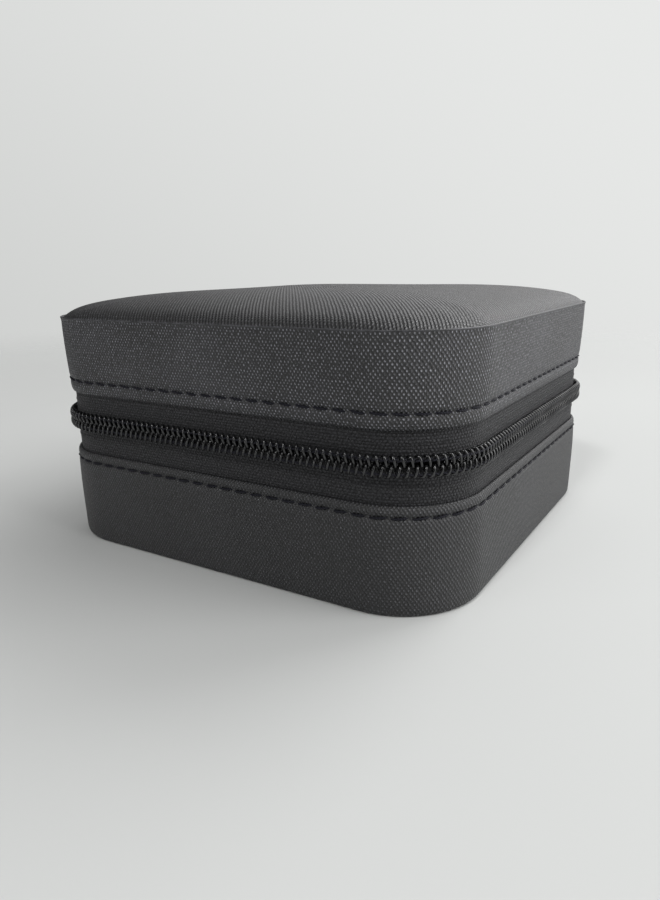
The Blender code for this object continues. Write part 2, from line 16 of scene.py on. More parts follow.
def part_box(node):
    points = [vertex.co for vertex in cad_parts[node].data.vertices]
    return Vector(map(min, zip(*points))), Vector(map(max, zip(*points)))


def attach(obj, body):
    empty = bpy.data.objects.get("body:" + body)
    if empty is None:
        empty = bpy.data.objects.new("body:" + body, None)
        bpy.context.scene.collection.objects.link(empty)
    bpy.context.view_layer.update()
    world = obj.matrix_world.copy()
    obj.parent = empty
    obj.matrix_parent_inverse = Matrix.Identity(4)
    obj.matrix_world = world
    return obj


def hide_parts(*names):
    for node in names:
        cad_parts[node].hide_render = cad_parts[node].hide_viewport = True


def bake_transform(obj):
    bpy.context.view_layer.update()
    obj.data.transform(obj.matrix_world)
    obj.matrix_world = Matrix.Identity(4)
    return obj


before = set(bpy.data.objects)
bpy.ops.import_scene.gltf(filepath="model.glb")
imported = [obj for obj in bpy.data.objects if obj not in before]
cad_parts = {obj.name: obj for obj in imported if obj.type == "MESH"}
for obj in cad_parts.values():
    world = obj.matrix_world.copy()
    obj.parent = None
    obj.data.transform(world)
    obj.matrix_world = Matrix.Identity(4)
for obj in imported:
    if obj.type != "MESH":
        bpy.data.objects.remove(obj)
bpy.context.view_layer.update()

bl_info = {
    "name": "Zip-round jewellery case",
    "version": (1, 0, 0),
    "blender": (4, 5, 0),
    "location": "3D View > Sidebar > Jewellery case",
    "description": "Builds the leather, zip, velvet and fittings of a square jewellery case",
    "category": "Add Mesh",
}

MM = 0.001

# Plan of the case and its heights, as in the solids
HALF = 0.050
CORNER_RADIUS = 0.017
STRAIGHT = HALF - CORNER_RADIUS
PARTING_Z = 0.0280
CREASE_Z = 0.0502
LINING_IN = 0.0055
STRAIGHT_STEPS = 20
CORNER_STEPS = 18
WELD_DISTANCE = 0.002 * MM

# Leather and its stitches
GRAIN_SLOPE = math.radians(35)
CROWN_RISE = 0.0050
CROWN_POWER = 4.5
CROWN_EDGE_SHARE = 0.25
CROWN_EDGE_POWER = 40.0
CROWN_EDGE_INSET = -0.30 * MM
CROWN_FOOT_Z = 48.65 * MM
CROWN_RINGS = 60
CROWN_SEAM_DROP = 0.45 * MM
CROWN_SAG = 0.12 * MM
PUCKER_FROM_SHARE = 0.80
PUCKER_DEPTH = 0.09 * MM
PUCKER_LENGTH = 0.0071
PUCKER_GROUP_LENGTH = 0.047
TRAY_STITCH_Z = 0.0187
LID_STITCH_Z = 0.0368
STITCH_INSET = 0.20 * MM
STITCH_SINK = 0.34 * MM
STITCH_LEAN = 0.09

# Zip: the ends of its tapes and coils beside the spine, and the thread over the wire
TAPE_END_X = 31.3 * MM
COIL_END_X = 31.4 * MM
COIL_THREAD_OUT = 0.52 * MM
COIL_THREAD_RISE = 1.22 * MM
COIL_THREAD_THICK = 0.36 * MM
COIL_THREAD_SINK = 0.12 * MM
COIL_THREAD_LEAN = 0.28
COIL_THREAD_OVERLAP_SHARE = 1.18


# Node trees


def operator_for(operation, swapped=False):
    """A method that adds one Math node to the tree."""

    def apply(self, *others):
        values = (*others, self) if swapped else (self, *others)
        return self.graph.math(operation, *values)

    return apply


class Field:
    """A value in a node tree. Arithmetic on it adds Math nodes."""

    def __init__(self, graph, socket):
        self.graph = graph
        self.socket = socket

    __add__ = __radd__ = operator_for("ADD")
    __sub__ = operator_for("SUBTRACT")
    __rsub__ = operator_for("SUBTRACT", swapped=True)
    __mul__ = __rmul__ = operator_for("MULTIPLY")
    __truediv__ = operator_for("DIVIDE")
    __pow__ = operator_for("POWER")
    __abs__ = operator_for("ABSOLUTE")
    sin = operator_for("SINE")
    cos = operator_for("COSINE")
    floor = operator_for("FLOOR")

    def __neg__(self):
        return self * -1.0

    def smooth(self, low, high):
        """0 below low, 1 above high, and a smooth step between."""
        values = {0: self, 1: low, 2: high, 3: 0.0, 4: 1.0}
        step = self.graph.first("ShaderNodeMapRange", values, interpolation_type="SMOOTHSTEP")
        return Field(self.graph, step)


class Graph:
    """A shader tree or a geometry tree, and its nodes."""

    def __init__(self, tree):
        self.tree = tree

    def node(self, kind, values=None, **settings):
        node = self.tree.nodes.new(kind)
        for name, setting in settings.items():
            setattr(node, name, setting)
        for name, value in (values or {}).items():
            self.feed(node.inputs[name], value)
        return node

    def first(self, kind, values=None, **settings):
        """The first output of a new node."""
        return self.node(kind, values, **settings).outputs[0]

    def feed(self, socket, value):
        if isinstance(value, Field):
            value = value.socket
        if isinstance(value, bpy.types.NodeSocket):
            self.tree.links.new(value, socket)
        else:
            socket.default_value = value

    def math(self, operation, *values):
        return Field(self, self.first("ShaderNodeMath", dict(enumerate(values)), operation=operation))

    def vector_math(self, operation, *values):
        return self.first("ShaderNodeVectorMath", dict(enumerate(values)), operation=operation)

    def scaled(self, vector, amount):
        return self.first("ShaderNodeVectorMath", {0: vector, "Scale": amount}, operation="SCALE")

    def split(self, vector):
        parts = self.node("ShaderNodeSeparateXYZ", {0: vector})
        return [Field(self, socket) for socket in parts.outputs]

    def join(self, x, y, z):
        return self.first("ShaderNodeCombineXYZ", {0: x, 1: y, 2: z})

    def colour_mix(self, factor, first, second):
        mix = self.node("ShaderNodeMix", {0: factor, 6: first, 7: second}, data_type="RGBA")
        return mix.outputs[2]

    def noise(self, vector, scale, detail, roughness=0.5):
        values = {"Vector": vector, "Scale": scale, "Detail": detail, "Roughness": roughness}
        return Field(self, self.first("ShaderNodeTexNoise", values))

    def bump(self, height, distance):
        return self.first("ShaderNodeBump", {"Height": height, "Distance": distance, "Strength": 1.0})

    def random(self, low, high, seed):
        values = {"Min": low, "Max": high, "Seed": seed}
        node = self.node("FunctionNodeRandomValue", values, data_type="FLOAT")
        return Field(self, node.outputs["Value"])

    def tube(self, curve, radius, sides, scale):
        """A capped tube along a curve. The scale varies its thickness."""
        ring = self.first("GeometryNodeCurvePrimitiveCircle", {"Resolution": sides, "Radius": radius})
        values = {"Curve": curve, "Profile Curve": ring, "Scale": scale, "Fill Caps": True}
        return self.first("GeometryNodeCurveToMesh", values)


def rgba(colour, scale=1.0):
    return tuple(min(channel * scale, 1.0) for channel in colour[:3]) + (1.0,)


class Finish:
    """A Principled material under way. Its patterns follow the piece's own UV map or its object space."""

    def __init__(self, name, by_uv, constants):
        self.material = bpy.data.materials.new(name)
        self.material.use_nodes = True
        self.graph = Graph(self.material.node_tree)
        self.shader = self.material.node_tree.nodes["Principled BSDF"]
        for socket, value in constants.items():
            self.shader.inputs[socket].default_value = value
        if by_uv:
            self.place = self.graph.first("ShaderNodeUVMap", uv_map="UVMap")
        else:
            self.place = self.graph.node("ShaderNodeTexCoord").outputs["Object"]

    def split(self):
        return self.graph.split(self.place)

    def noise(self, *settings):
        return self.graph.noise(self.place, *settings)

    def tint(self, mix, colour, dark, light):
        """The mix runs the colour from its dark shade to its light one."""
        shades = self.graph.colour_mix(mix, rgba(colour, dark), rgba(colour, light))
        self.graph.feed(self.shader.inputs["Base Color"], shades)

    def relief(self, height, depth, rough):
        """A relief of that depth in millimetres, and the roughness. Returns the finished material."""
        self.graph.feed(self.shader.inputs["Normal"], self.graph.bump(height, depth * MM))
        self.graph.feed(self.shader.inputs["Roughness"], rough)
        return self.material


def embossed_leather(name, colour, pitch, by_uv, painted_glint):
    """Cross-hatch embossed leather: two families of slanted ridges, one stronger than the other.

    The painted glint is how much lighter the tips of the grain are painted than the rest: partly worn tips,
    mostly a painted highlight that is stronger where more light falls."""
    finish = Finish(name, by_uv, {"Specular IOR Level": 0.75})
    u, v, _ = finish.split()
    wander = finish.noise(420.0, 2.0) - 0.5
    jitter = finish.noise(1500.0, 1.0) - 0.5
    turns = 2 * math.pi / pitch
    run, rise = u * math.cos(GRAIN_SLOPE), v * math.sin(GRAIN_SLOPE)
    along = (run + rise) * turns + wander * 2.4 + jitter * 2.2
    across = (run - rise) * turns - wander * 2.0 + jitter * 2.2
    strong = along.cos() * 0.5 + 0.5
    weak = across.cos() * 0.5 + 0.5
    lattice = strong * (weak * 0.62 + 0.30) + weak * 0.08
    patchy = finish.noise(1700.0, 2.0)
    fine = finish.noise(6500.0, 3.0)
    broad = finish.noise(45.0, 3.0)
    height = (lattice * 0.7 + (strong + weak) * 0.2) * (patchy * 0.9 + 0.55) + fine * 0.25
    tips = lattice.smooth(0.38, 0.95) * patchy.smooth(0.35, 0.62)
    # Painted highlight: the tips of the grain are painted lighter, partly as wear but mostly as glints of
    # light.
    finish.tint(tips * 0.92 + broad.smooth(0.35, 0.7) * 0.05, colour, 0.35, painted_glint)
    return finish.relief(height, 0.17, 0.50 - tips * 0.26 + fine * 0.08)


def folded_leather(name, colour):
    """The folded edge of the leather, where the emboss is pulled flat, painted lighter than the leather as a
    painted highlight along the crease.
    """
    finish = Finish(name, False, {"Specular IOR Level": 0.6})
    mottle = finish.noise(600.0, 3.0)
    # Painted highlight: the edge is painted up to four times lighter than its leather colour, to show a
    # light line at the crease.
    finish.tint(mottle.smooth(0.3, 0.7), colour, 1.2, 4.0)
    return finish.relief(mottle, 0.05, 0.38 + mottle * 0.15)


def woven_tape(name, colour, pitch):
    """Zip tape: short raised threads in rows, each row half a thread along from the last."""
    finish = Finish(name, True, {"Specular IOR Level": 0.3, "Sheen Weight": 0.1, "Sheen Roughness": 0.5})
    u, v, _ = finish.split()
    row = v / (pitch * 0.8)
    wander = finish.noise(900.0, 2.0) - 0.5
    thread = abs(((u / pitch + row.floor() * 0.5) * math.pi + wander * 2.6).sin())
    rib = abs((row * math.pi).sin())
    weave = (thread * rib) ** 0.6 * (finish.noise(2100.0, 2.0).smooth(0.34, 0.64) * 0.9 + 0.35)
    fibre = finish.noise(6000.0, 2.0)
    finish.tint(weave, colour, 0.3, 4.6)
    return finish.relief(weave + fibre * 0.25, 0.20, 0.80 - weave * 0.22)


def spun_thread(name, colour):
    """Twisted thread, seen from close by as a fine slanted grain."""
    finish = Finish(name, False, {"Specular IOR Level": 0.3})
    x, y, z = finish.split()
    twist = ((x + y) * 9000.0 + z * 9000.0).sin() * 0.5 + 0.5
    fibre = finish.noise(5000.0, 2.0)
    finish.tint(fibre, colour, 0.7, 1.4)
    return finish.relief(twist + fibre * 0.5, 0.05, 0.6 + fibre * 0.15)


def nylon_wire(name, colour):
    """Smooth nylon monofilament with faint draw marks."""
    finish = Finish(name, False, {"Specular IOR Level": 0.8})
    marks = finish.noise(1800.0, 3.0)
    finish.tint(marks, colour, 0.75, 1.35)
    return finish.relief(marks, 0.02, 0.16 + marks * 0.12)


def velvet_pile(name, colour):
    """Short velvet pile, brushed in broad uneven patches."""
    finish = Finish(name, False, {"Sheen Weight": 0.6, "Sheen Roughness": 0.35, "Specular IOR Level": 0.2})
    brushed = finish.noise(70.0, 3.0, 0.6)
    pile = finish.noise(4500.0, 3.0, 0.7)
    finish.tint(brushed.smooth(0.35, 0.65) * 0.6 + pile * 0.4, colour, 0.7, 1.6)
    return finish.relief(pile + brushed * 0.8, 0.12, 0.9 + pile * 0.1)


def satin_cloth(name, colour):
    """Fine satin lining cloth with a faint rib."""
    finish = Finish(name, True, {"Sheen Weight": 0.3, "Anisotropic": 0.4})
    _, v, _ = finish.split()
    rib = (v * (2 * math.pi / (0.35 * MM))).sin() * 0.5 + 0.5
    slub = finish.noise(900.0, 2.0)
    finish.tint(slub, colour, 0.8, 1.35)
    return finish.relief(rib + slub, 0.03, 0.30 + slub * 0.15)


def cast_metal(name, colour, rough):
    """Plated or enamelled metal with fine rub marks."""
    finish = Finish(name, False, {"Metallic": 1.0})
    x, y, z = finish.split()
    streaks = finish.graph.noise(finish.graph.join(x * 6.0, y, z), 900.0, 3.0)
    finish.tint(finish.noise(220.0, 2.0), colour, 0.85, 1.15)
    return finish.relief(streaks, 0.01, streaks * 0.18 + rough)


def wrapped_board(name, colour):
    """Board covered with thin fibrous paper."""
    finish = Finish(name, False, {"Specular IOR Level": 0.3})
    fibre = finish.noise(1500.0, 4.0, 0.65)
    finish.tint(fibre, colour, 0.7, 1.4)
    return finish.relief(fibre, 0.04, 0.8 + fibre * 0.15)


# Meshes


def case_path(inset, closed=True, end_x=0.0):
    """Plan points round the case, from the back's middle over the left, the front and the right.

    An open path starts and ends at end_x on either side of the spine, as the zip does."""
    side = HALF - inset
    radius = CORNER_RADIUS - inset
    start = 0.0 if closed else end_x
    short = max(2, int(STRAIGHT_STEPS * (STRAIGHT - start) / (2 * STRAIGHT)))
    runs = (
        ((-start, side), (-STRAIGHT, side), short, 90),
        ((-side, STRAIGHT), (-side, -STRAIGHT), STRAIGHT_STEPS, 180),
        ((-STRAIGHT, -side), (STRAIGHT, -side), STRAIGHT_STEPS, 270),
        ((side, -STRAIGHT), (side, STRAIGHT), STRAIGHT_STEPS, 0),
        ((STRAIGHT, side), (start, side), short, None),
    )
    points = []
    for first, last, steps, turn_from in runs:
        for share in (step / steps for step in range(steps)):
            points.append(tuple(a + (b - a) * share for a, b in zip(first, last)))
        if turn_from is None:
            continue
        centre_x, centre_y = (math.copysign(STRAIGHT, place) for place in last)
        for step in range(CORNER_STEPS):
            angle = math.radians(turn_from) + math.pi / 2 * step / CORNER_STEPS
            points.append((centre_x + radius * math.cos(angle), centre_y + radius * math.sin(angle)))
    if not closed:
        points.append((start, side))
    return points


def run_lengths(points, closed):
    """Distance along the points, to each of them, and once round for a closed path."""
    ends = points + points[:1] if closed else points
    steps = [math.dist(a, b) for a, b in zip(ends, ends[1:])]
    return [0.0] + list(np.cumsum(steps))


def link_object(name, data):
    made = bpy.data.objects.new(name, data)
    bpy.context.scene.collection.objects.link(made)
    return made


def link_mesh(name, mesh, material):
    mesh.materials.clear()
    mesh.materials.append(material)
    return link_object(name, mesh)


def plain_mesh(name, made):
    """Turns the bmesh into a mesh and frees it."""
    mesh = bpy.data.meshes.new(name)
    made.to_mesh(mesh)
    made.free()
    return mesh


def smooth_mesh(name, made, sharp=None):
    """Turns the bmesh into a smooth mesh that faces outward, with edges sharp from that angle on."""
    bmesh.ops.recalc_face_normals(made, faces=made.faces)
    mesh = plain_mesh(name, made)
    mesh.shade_smooth()
    if sharp:
        mesh.set_sharp_from_angle(angle=math.radians(sharp))
    return mesh


def evaluated_mesh(carrier):
    """The carrier's finished shape as a plain mesh, without the carrier and its modifiers."""
    graph = bpy.context.evaluated_depsgraph_get()
    mesh = bpy.data.meshes.new_from_object(carrier.evaluated_get(graph), depsgraph=graph)
    carrier.modifiers.clear()
    bpy.data.objects.remove(carrier)
    return mesh


def from_rings(name, rings, material, uvs=None, closed=False, sharp=50):
    """A mesh on a run of rings of points, which closes on itself or is capped at both ends.

    uvs gives (u, v) for each point, one more in each ring, and one more ring on a closed run."""
    made = bmesh.new()
    verts = [[made.verts.new(point) for point in ring] for ring in rings]
    layer = made.loops.layers.uv.new("UVMap")
    count, width = len(rings), len(rings[0])
    for i in range(count if closed else count - 1):
        for j in range(width):
            k, m = (i + 1) % count, (j + 1) % width
            face = made.faces.new((verts[i][j], verts[i][m], verts[k][m], verts[k][j]))
            if uvs is not None:
                spots = (uvs[i][j], uvs[i][j + 1], uvs[i + 1][j + 1], uvs[i + 1][j])
                for loop, spot in zip(face.loops, spots):
                    loop[layer].uv = spot
    if not closed:
        for end in (verts[0], verts[-1]):
            for loop in made.faces.new(end).loops:
                loop[layer].uv = loop.vert.co.xy
    return link_mesh(name, smooth_mesh(name, made, sharp), material)


def laid_uvs(rings, across=0, up=1, stretch=1.0):
    """UVs from two coordinates of each point, with the first point of each ring repeated."""
    return [[(point[across] * stretch, point[up]) for point in ring + ring[:1]] for ring in rings]


def band_round_case(name, section, material, closed=True, end_x=0.0, period=0.0):
    """A strip round the case with a section of (inset, z) in millimetres. UVs are true lengths."""
    paths = [case_path(inset * MM, closed, end_x) for inset, _ in section]
    rings = [
        [Vector((*spot, z * MM)) for spot, (_, z) in zip(station, section)] for station in zip(*paths)
    ]
    run = run_lengths(case_path(0.0, closed, end_x), closed)
    if period:
        stretch = round(run[-1] / period) * period / run[-1]
        run = [length * stretch for length in run]
    rise = run_lengths([(inset * MM, z * MM) for inset, z in section], True)
    return from_rings(name, rings, material, [[(u, v) for v in rise] for u in run], closed)


def outline_run(name, inset, z, closed, end_x=0.0):
    """The path as a bare line of edges, for a Geometry Nodes tree to follow."""
    points = [(x, y, z) for x, y in case_path(inset, closed, end_x)]
    edges = [(i, i + 1) for i in range(len(points) - 1)]
    if closed:
        edges.append((len(points) - 1, 0))
    mesh = bpy.data.meshes.new(name)
    mesh.from_pydata(points, edges, [])
    return link_object(name, mesh)


def grown(name, carrier, tree, values, material):
    """Runs the tree on the carrier and returns the result as one plain mesh."""
    step = carrier.modifiers.new(tree.name, "NODES")
    step.node_group = tree
    sockets = {item.name: item.identifier for item in tree.interface.items_tree if item.in_out == "INPUT"}
    for label, value in {**values, "Material": material}.items():
        step[sockets[label]] = value
    carrier.update_tag()
    mesh = evaluated_mesh(carrier)
    mesh.name = name
    mesh.shade_smooth()
    return link_mesh(name, mesh, material)


def new_tree(name, inputs):
    """A geometry tree with named inputs. inputs maps a name to its default, a whole number or a float."""
    tree = bpy.data.node_groups.new(name, "GeometryNodeTree")
    tree.interface.new_socket("Geometry", in_out="INPUT", socket_type="NodeSocketGeometry")
    for label, default in inputs.items():
        kind = "NodeSocketInt" if isinstance(default, int) else "NodeSocketFloat"
        tree.interface.new_socket(label, in_out="INPUT", socket_type=kind).default_value = default
    tree.interface.new_socket("Material", in_out="INPUT", socket_type="NodeSocketMaterial")
    tree.interface.new_socket("Geometry", in_out="OUTPUT", socket_type="NodeSocketGeometry")
    graph = Graph(tree)
    entry = graph.node("NodeGroupInput")
    fields = {label: Field(graph, entry.outputs[label]) for label in inputs}
    return tree, graph, entry, fields


def close_tree(graph, entry, geometry):
    """Realizes the instances, sets the material and ends the tree."""
    plain = graph.first("GeometryNodeRealizeInstances", {0: geometry})
    values = {"Geometry": plain, "Material": entry.outputs["Material"]}
    graph.node("NodeGroupOutput", {0: graph.first("GeometryNodeSetMaterial", values)})


def outward_of(graph, tangent):
    """Level direction out of the case, for a path that runs anticlockwise in plan."""
    flat = graph.vector_math("CROSS_PRODUCT", tangent, (0.0, 0.0, 1.0))
    return graph.vector_math("NORMALIZE", flat)


def stitch_tree():
    """Stitches along a line: one slightly bowed thread, with both ends sunk, at even steps."""
    tree, graph, entry, field = new_tree(
        "stitch_row",
        {"Count": 90, "Length": 2.9 * MM, "Thickness": 0.55 * MM, "Sink": 0.35 * MM, "Slant": 0.1},
    )
    line = graph.first("GeometryNodeMeshToCurve", {0: entry.outputs["Geometry"]})
    even = graph.first("GeometryNodeResampleCurve", {"Curve": line, "Count": field["Count"]})
    half = field["Length"] / 2.0
    low = -field["Sink"]
    bow = graph.first(
        "GeometryNodeCurveQuadraticBezier",
        {
            "Resolution": 8,
            "Start": graph.join(-half, 0.0, low),
            "Middle": graph.join(0.0, 0.0, field["Sink"] + field["Thickness"] * 0.35),
            "End": graph.join(half, 0.0, low),
        },
    )
    share = Field(graph, graph.first("GeometryNodeSplineParameter"))
    taper = 1.0 - abs(share * 2.0 - 1.0) ** 4.0 * 0.35
    thread = graph.tube(bow, field["Thickness"] / 2.0, 8, taper)
    tangent = graph.first("GeometryNodeInputTangent")
    lean = field["Slant"] + graph.random(-0.05, 0.05, seed=4)
    slanted = graph.vector_math("ADD", tangent, graph.join(0.0, 0.0, lean))
    turn = graph.first(
        "FunctionNodeAxesToRotation",
        {"Primary Axis": outward_of(graph, tangent), "Secondary Axis": slanted},
        primary_axis="Z",
        secondary_axis="X",
    )
    scale = graph.join(graph.random(0.9, 1.06, seed=9), 1.0, 1.0)
    values = {"Points": even, "Instance": thread, "Rotation": turn, "Scale": scale}
    close_tree(graph, entry, graph.first("GeometryNodeInstanceOnPoints", values))
    return tree


def coil_tree():
    """One half of a coil zip: a single wire wound flat along a path, with its loops' heads at the middle.

    The heads stand open near the start of the path, where the slider runs."""
    tree, graph, entry, field = new_tree(
        "zip_coil",
        {
            "Turns": 220,
            "Steps": 18,
            "Wire": 0.28 * MM,
            "Lift": 0.0,
            "Half Height": 0.58 * MM,
            "Outer Edge": 1.87 * MM,
            "Head": -0.05 * MM,
            "Open Head": 0.47 * MM,
            "Open Length": 90.0 * MM,
            "Side": 1.0,
            "Phase": 0.0,
        },
    )
    line = graph.first("GeometryNodeMeshToCurve", {0: entry.outputs["Geometry"]})
    total = Field(graph, graph.first("GeometryNodeCurveLength", {0: line}))
    count = field["Turns"] * field["Steps"] + 1.0
    raw = graph.first("GeometryNodeCurvePrimitiveLine")
    dense = graph.first("GeometryNodeResampleCurve", {"Curve": raw, "Count": count})
    turn = Field(graph, graph.first("GeometryNodeInputIndex")) / field["Steps"]
    angle = turn * (2 * math.pi)
    pitch = total / (field["Turns"] + 1.0)
    run = (turn + 0.25 + field["Phase"] + angle.sin() * 0.10) * pitch
    spot = graph.node(
        "GeometryNodeSampleCurve", {"Curves": line, "Length": run}, mode="LENGTH", use_all_curves=True
    )
    meshed = run.smooth(field["Open Length"] - 1.5 * MM, field["Open Length"] + 1.5 * MM)
    head = field["Open Head"] + (field["Head"] - field["Open Head"]) * meshed
    middle = (field["Outer Edge"] + head) / 2.0
    reach = (field["Outer Edge"] - head) / 2.0
    width = (middle + reach * angle.cos()) * field["Side"]
    height = field["Lift"] + field["Half Height"] * angle.sin()
    out = graph.scaled(outward_of(graph, spot.outputs["Tangent"]), height)
    shifted = graph.vector_math("ADD", spot.outputs["Position"], out)
    point = graph.vector_math("ADD", shifted, graph.join(0.0, 0.0, width))
    wound = graph.first("GeometryNodeSetPosition", {"Geometry": dense, "Position": point})
    swell = 1.0 + (0.5 - angle.cos() * 0.5) ** 6.0 * 0.16
    close_tree(graph, entry, graph.tube(wound, field["Wire"], 7, swell))
    return tree


def plate(name, outlines, low, high, edge, material, upright=False):
    """A plate with soft edges between two heights. Outlines after the first cut holes in it.

    An upright plate has its outlines in Y and Z, and stands between two places along X."""
    curve = bpy.data.curves.new(name, "CURVE")
    curve.dimensions = "2D"
    curve.fill_mode = "BOTH"
    curve.extrude = (high - low) / 2 - edge
    curve.bevel_depth = edge
    curve.bevel_resolution = 2
    curve.offset = -edge
    for outline in outlines:
        spline = curve.splines.new("POLY")
        spline.points.add(len(outline) - 1)
        for point, (x, y) in zip(spline.points, outline):
            point.co = (x, y, 0.0, 1.0)
        spline.use_cyclic_u = True
    filled = evaluated_mesh(link_object(name, curve))
    made = bmesh.new()
    made.from_mesh(filled)
    bpy.data.meshes.remove(filled)
    bmesh.ops.remove_doubles(made, verts=made.verts, dist=WELD_DISTANCE)
    mesh = smooth_mesh(name, made, 40)
    middle = (low + high) / 2
    if upright:
        mesh.transform(Matrix(((0, 0, 1, middle), (1, 0, 0, 0), (0, 1, 0, 0), (0, 0, 0, 1))))
    else:
        mesh.transform(Matrix.Translation((0, 0, middle)))
    return link_mesh(name, mesh, material)


def rounded_rectangle(low, high, radii, steps=8):
    """Plan of a rectangle with its own radius at each corner, anticlockwise from the low corner."""
    (x0, y0), (x1, y1) = low, high
    corners = ((x0, y0, 180), (x1, y0, 270), (x1, y1, 0), (x0, y1, 90))
    points = []
    for (x, y, begin), radius in zip(corners, radii):
        cx = x + radius if x == x0 else x - radius
        cy = y + radius if y == y0 else y - radius
        for step in range(steps + 1):
            angle = math.radians(begin) + math.pi / 2 * step / steps
            points.append((cx + radius * math.cos(angle), cy + radius * math.sin(angle)))
    return points


def around(steps):
    """Cosine and sine of even steps round a full turn."""
    turns = [2 * math.pi * i / steps for i in range(steps)]
    return [(math.cos(turn), math.sin(turn)) for turn in turns]


def circle(x, y, radius, steps=24):
    return [(x + radius * c, y + radius * s) for c, s in around(steps)]


def lathe(name, profile, centre, material, steps=40):
    """A turned piece on a vertical axis. The profile is (radius, height), and ends near the axis."""
    x, y = centre
    rings = [[Vector((x + r * c, y + r * s, height)) for c, s in around(steps)] for r, height in profile]
    return from_rings(name, rings, material, sharp=35)


def soft_block(name, low, high, material, edge):
    """A block with round edges."""
    size = [b - a for a, b in zip(low, high)]
    middle = Vector([(a + b) / 2 for a, b in zip(low, high)])
    core = [length / 2 - edge for length in size]
    made = bmesh.new()
    bmesh.ops.create_cube(made, size=1.0)
    bmesh.ops.subdivide_edges(made, edges=made.edges, cuts=9, use_grid_fill=True)
    for vertex in made.verts:
        places = [2 * share * (c + edge) for c, share in zip(core, vertex.co)]
        inner = Vector([max(-c, min(c, place)) for c, place in zip(core, places)])
        lean = Vector(places) - inner
        if lean.length > 1e-9:
            lean = lean.normalized() * edge
        vertex.co = middle + (inner + lean)
    return link_mesh(name, smooth_mesh(name, made), material)


def joined(name, parts):
    """Makes one object of several meshes that keep their own closed shells."""
    made = bmesh.new()
    for part in parts:
        made.from_mesh(part.data)
    material = parts[0].data.materials[0]
    for part in parts:
        bpy.data.objects.remove(part)
    return link_mesh(name, plain_mesh(name, made), material)


def hand_over(piece, body, slot, *nodes):
    """Tells the frame which body the piece rides and which solids it shows. The slot is not used."""
    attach(piece, body)
    if nodes:
        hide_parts(*nodes)


# User settings


def length_property(name, description, default, low, high):
    return FloatProperty(
        name=name, description=description, default=default, min=low, max=high, precision=5, unit="LENGTH"
    )


def colour_property(name, description, default):
    return FloatVectorProperty(
        name=name, description=description, default=default, size=3, min=0.0, max=1.0, subtype="COLOR"
    )


class CaseSizes(PropertyGroup):
    grain_pitch: length_property(
        "Grain pitch", "Distance between ridges of the embossed leather", 0.00062, 0.0004, 0.003
    )
    stitch_pitch: length_property(
        "Stitch pitch", "Distance from one stitch to the next", 0.0037, 0.002, 0.008
    )
    stitch_length: length_property(
        "Stitch length", "Length of the thread that shows in each stitch", 0.0030, 0.001, 0.007
    )
    stitch_thickness: length_property(
        "Thread thickness", "Thickness of the sewing thread", 0.00044, 0.0002, 0.0015
    )
    coil_turns: IntProperty(
        name="Coil turns", description="Turns of wire on each side of the zip", default=216, min=50, max=400
    )
    coil_wire: length_property("Coil wire radius", "Radius of the nylon wire", 0.00025, 0.0001, 0.0005)
    weave_pitch: length_property(
        "Weave pitch", "Distance between threads of the zip tape", 0.00072, 0.0002, 0.002
    )


class CaseColours(PropertyGroup):
    leather: colour_property("Leather", "Colour of the embossed leather", (0.015, 0.015, 0.017))
    thread: colour_property("Thread", "Colour of the sewing thread", (0.004, 0.004, 0.009))
    tape: colour_property("Zip tape", "Colour of the woven tape", (0.009, 0.009, 0.010))
    nylon: colour_property("Coil", "Colour of the nylon coil", (0.006, 0.006, 0.007))
    velvet: colour_property("Velvet", "Colour of the lining", (0.030, 0.030, 0.034))
    satin: colour_property("Satin", "Colour of the pocket cloth", (0.034, 0.034, 0.040))
    board: colour_property("Board", "Colour of the paper-wrapped board", (0.022, 0.022, 0.023))
    slider: colour_property("Slider", "Colour of the enamelled slider", (0.035, 0.035, 0.037))
    snap: colour_property("Snaps", "Colour of the snap metal", (0.35, 0.34, 0.33))
    floor: colour_property("Floor", "Colour of the floor", (0.66, 0.67, 0.66))


def sizes():
    return bpy.context.scene.case_sizes


def colours():
    return bpy.context.scene.case_colours


def finish_for(name, maker, *values):
    """The named material, made on first use."""
    return bpy.data.materials.get(name) or maker(name, *values)


def leather(by_uv=True, painted_glint=3.0):
    name = f"embossed_leather_{'uv' if by_uv else 'flat'}_{painted_glint:.0f}"
    return finish_for(name, embossed_leather, colours().leather, sizes().grain_pitch, by_uv, painted_glint)


def folded_edge():
    return finish_for("folded_edge", folded_leather, colours().leather)


def thread():
    return finish_for("sewing_thread", spun_thread, colours().thread)


def velvet():
    return finish_for("velvet_pile", velvet_pile, colours().velvet)


def tape_cloth():
    return finish_for("zip_tape_weave", woven_tape, colours().tape, sizes().weave_pitch)


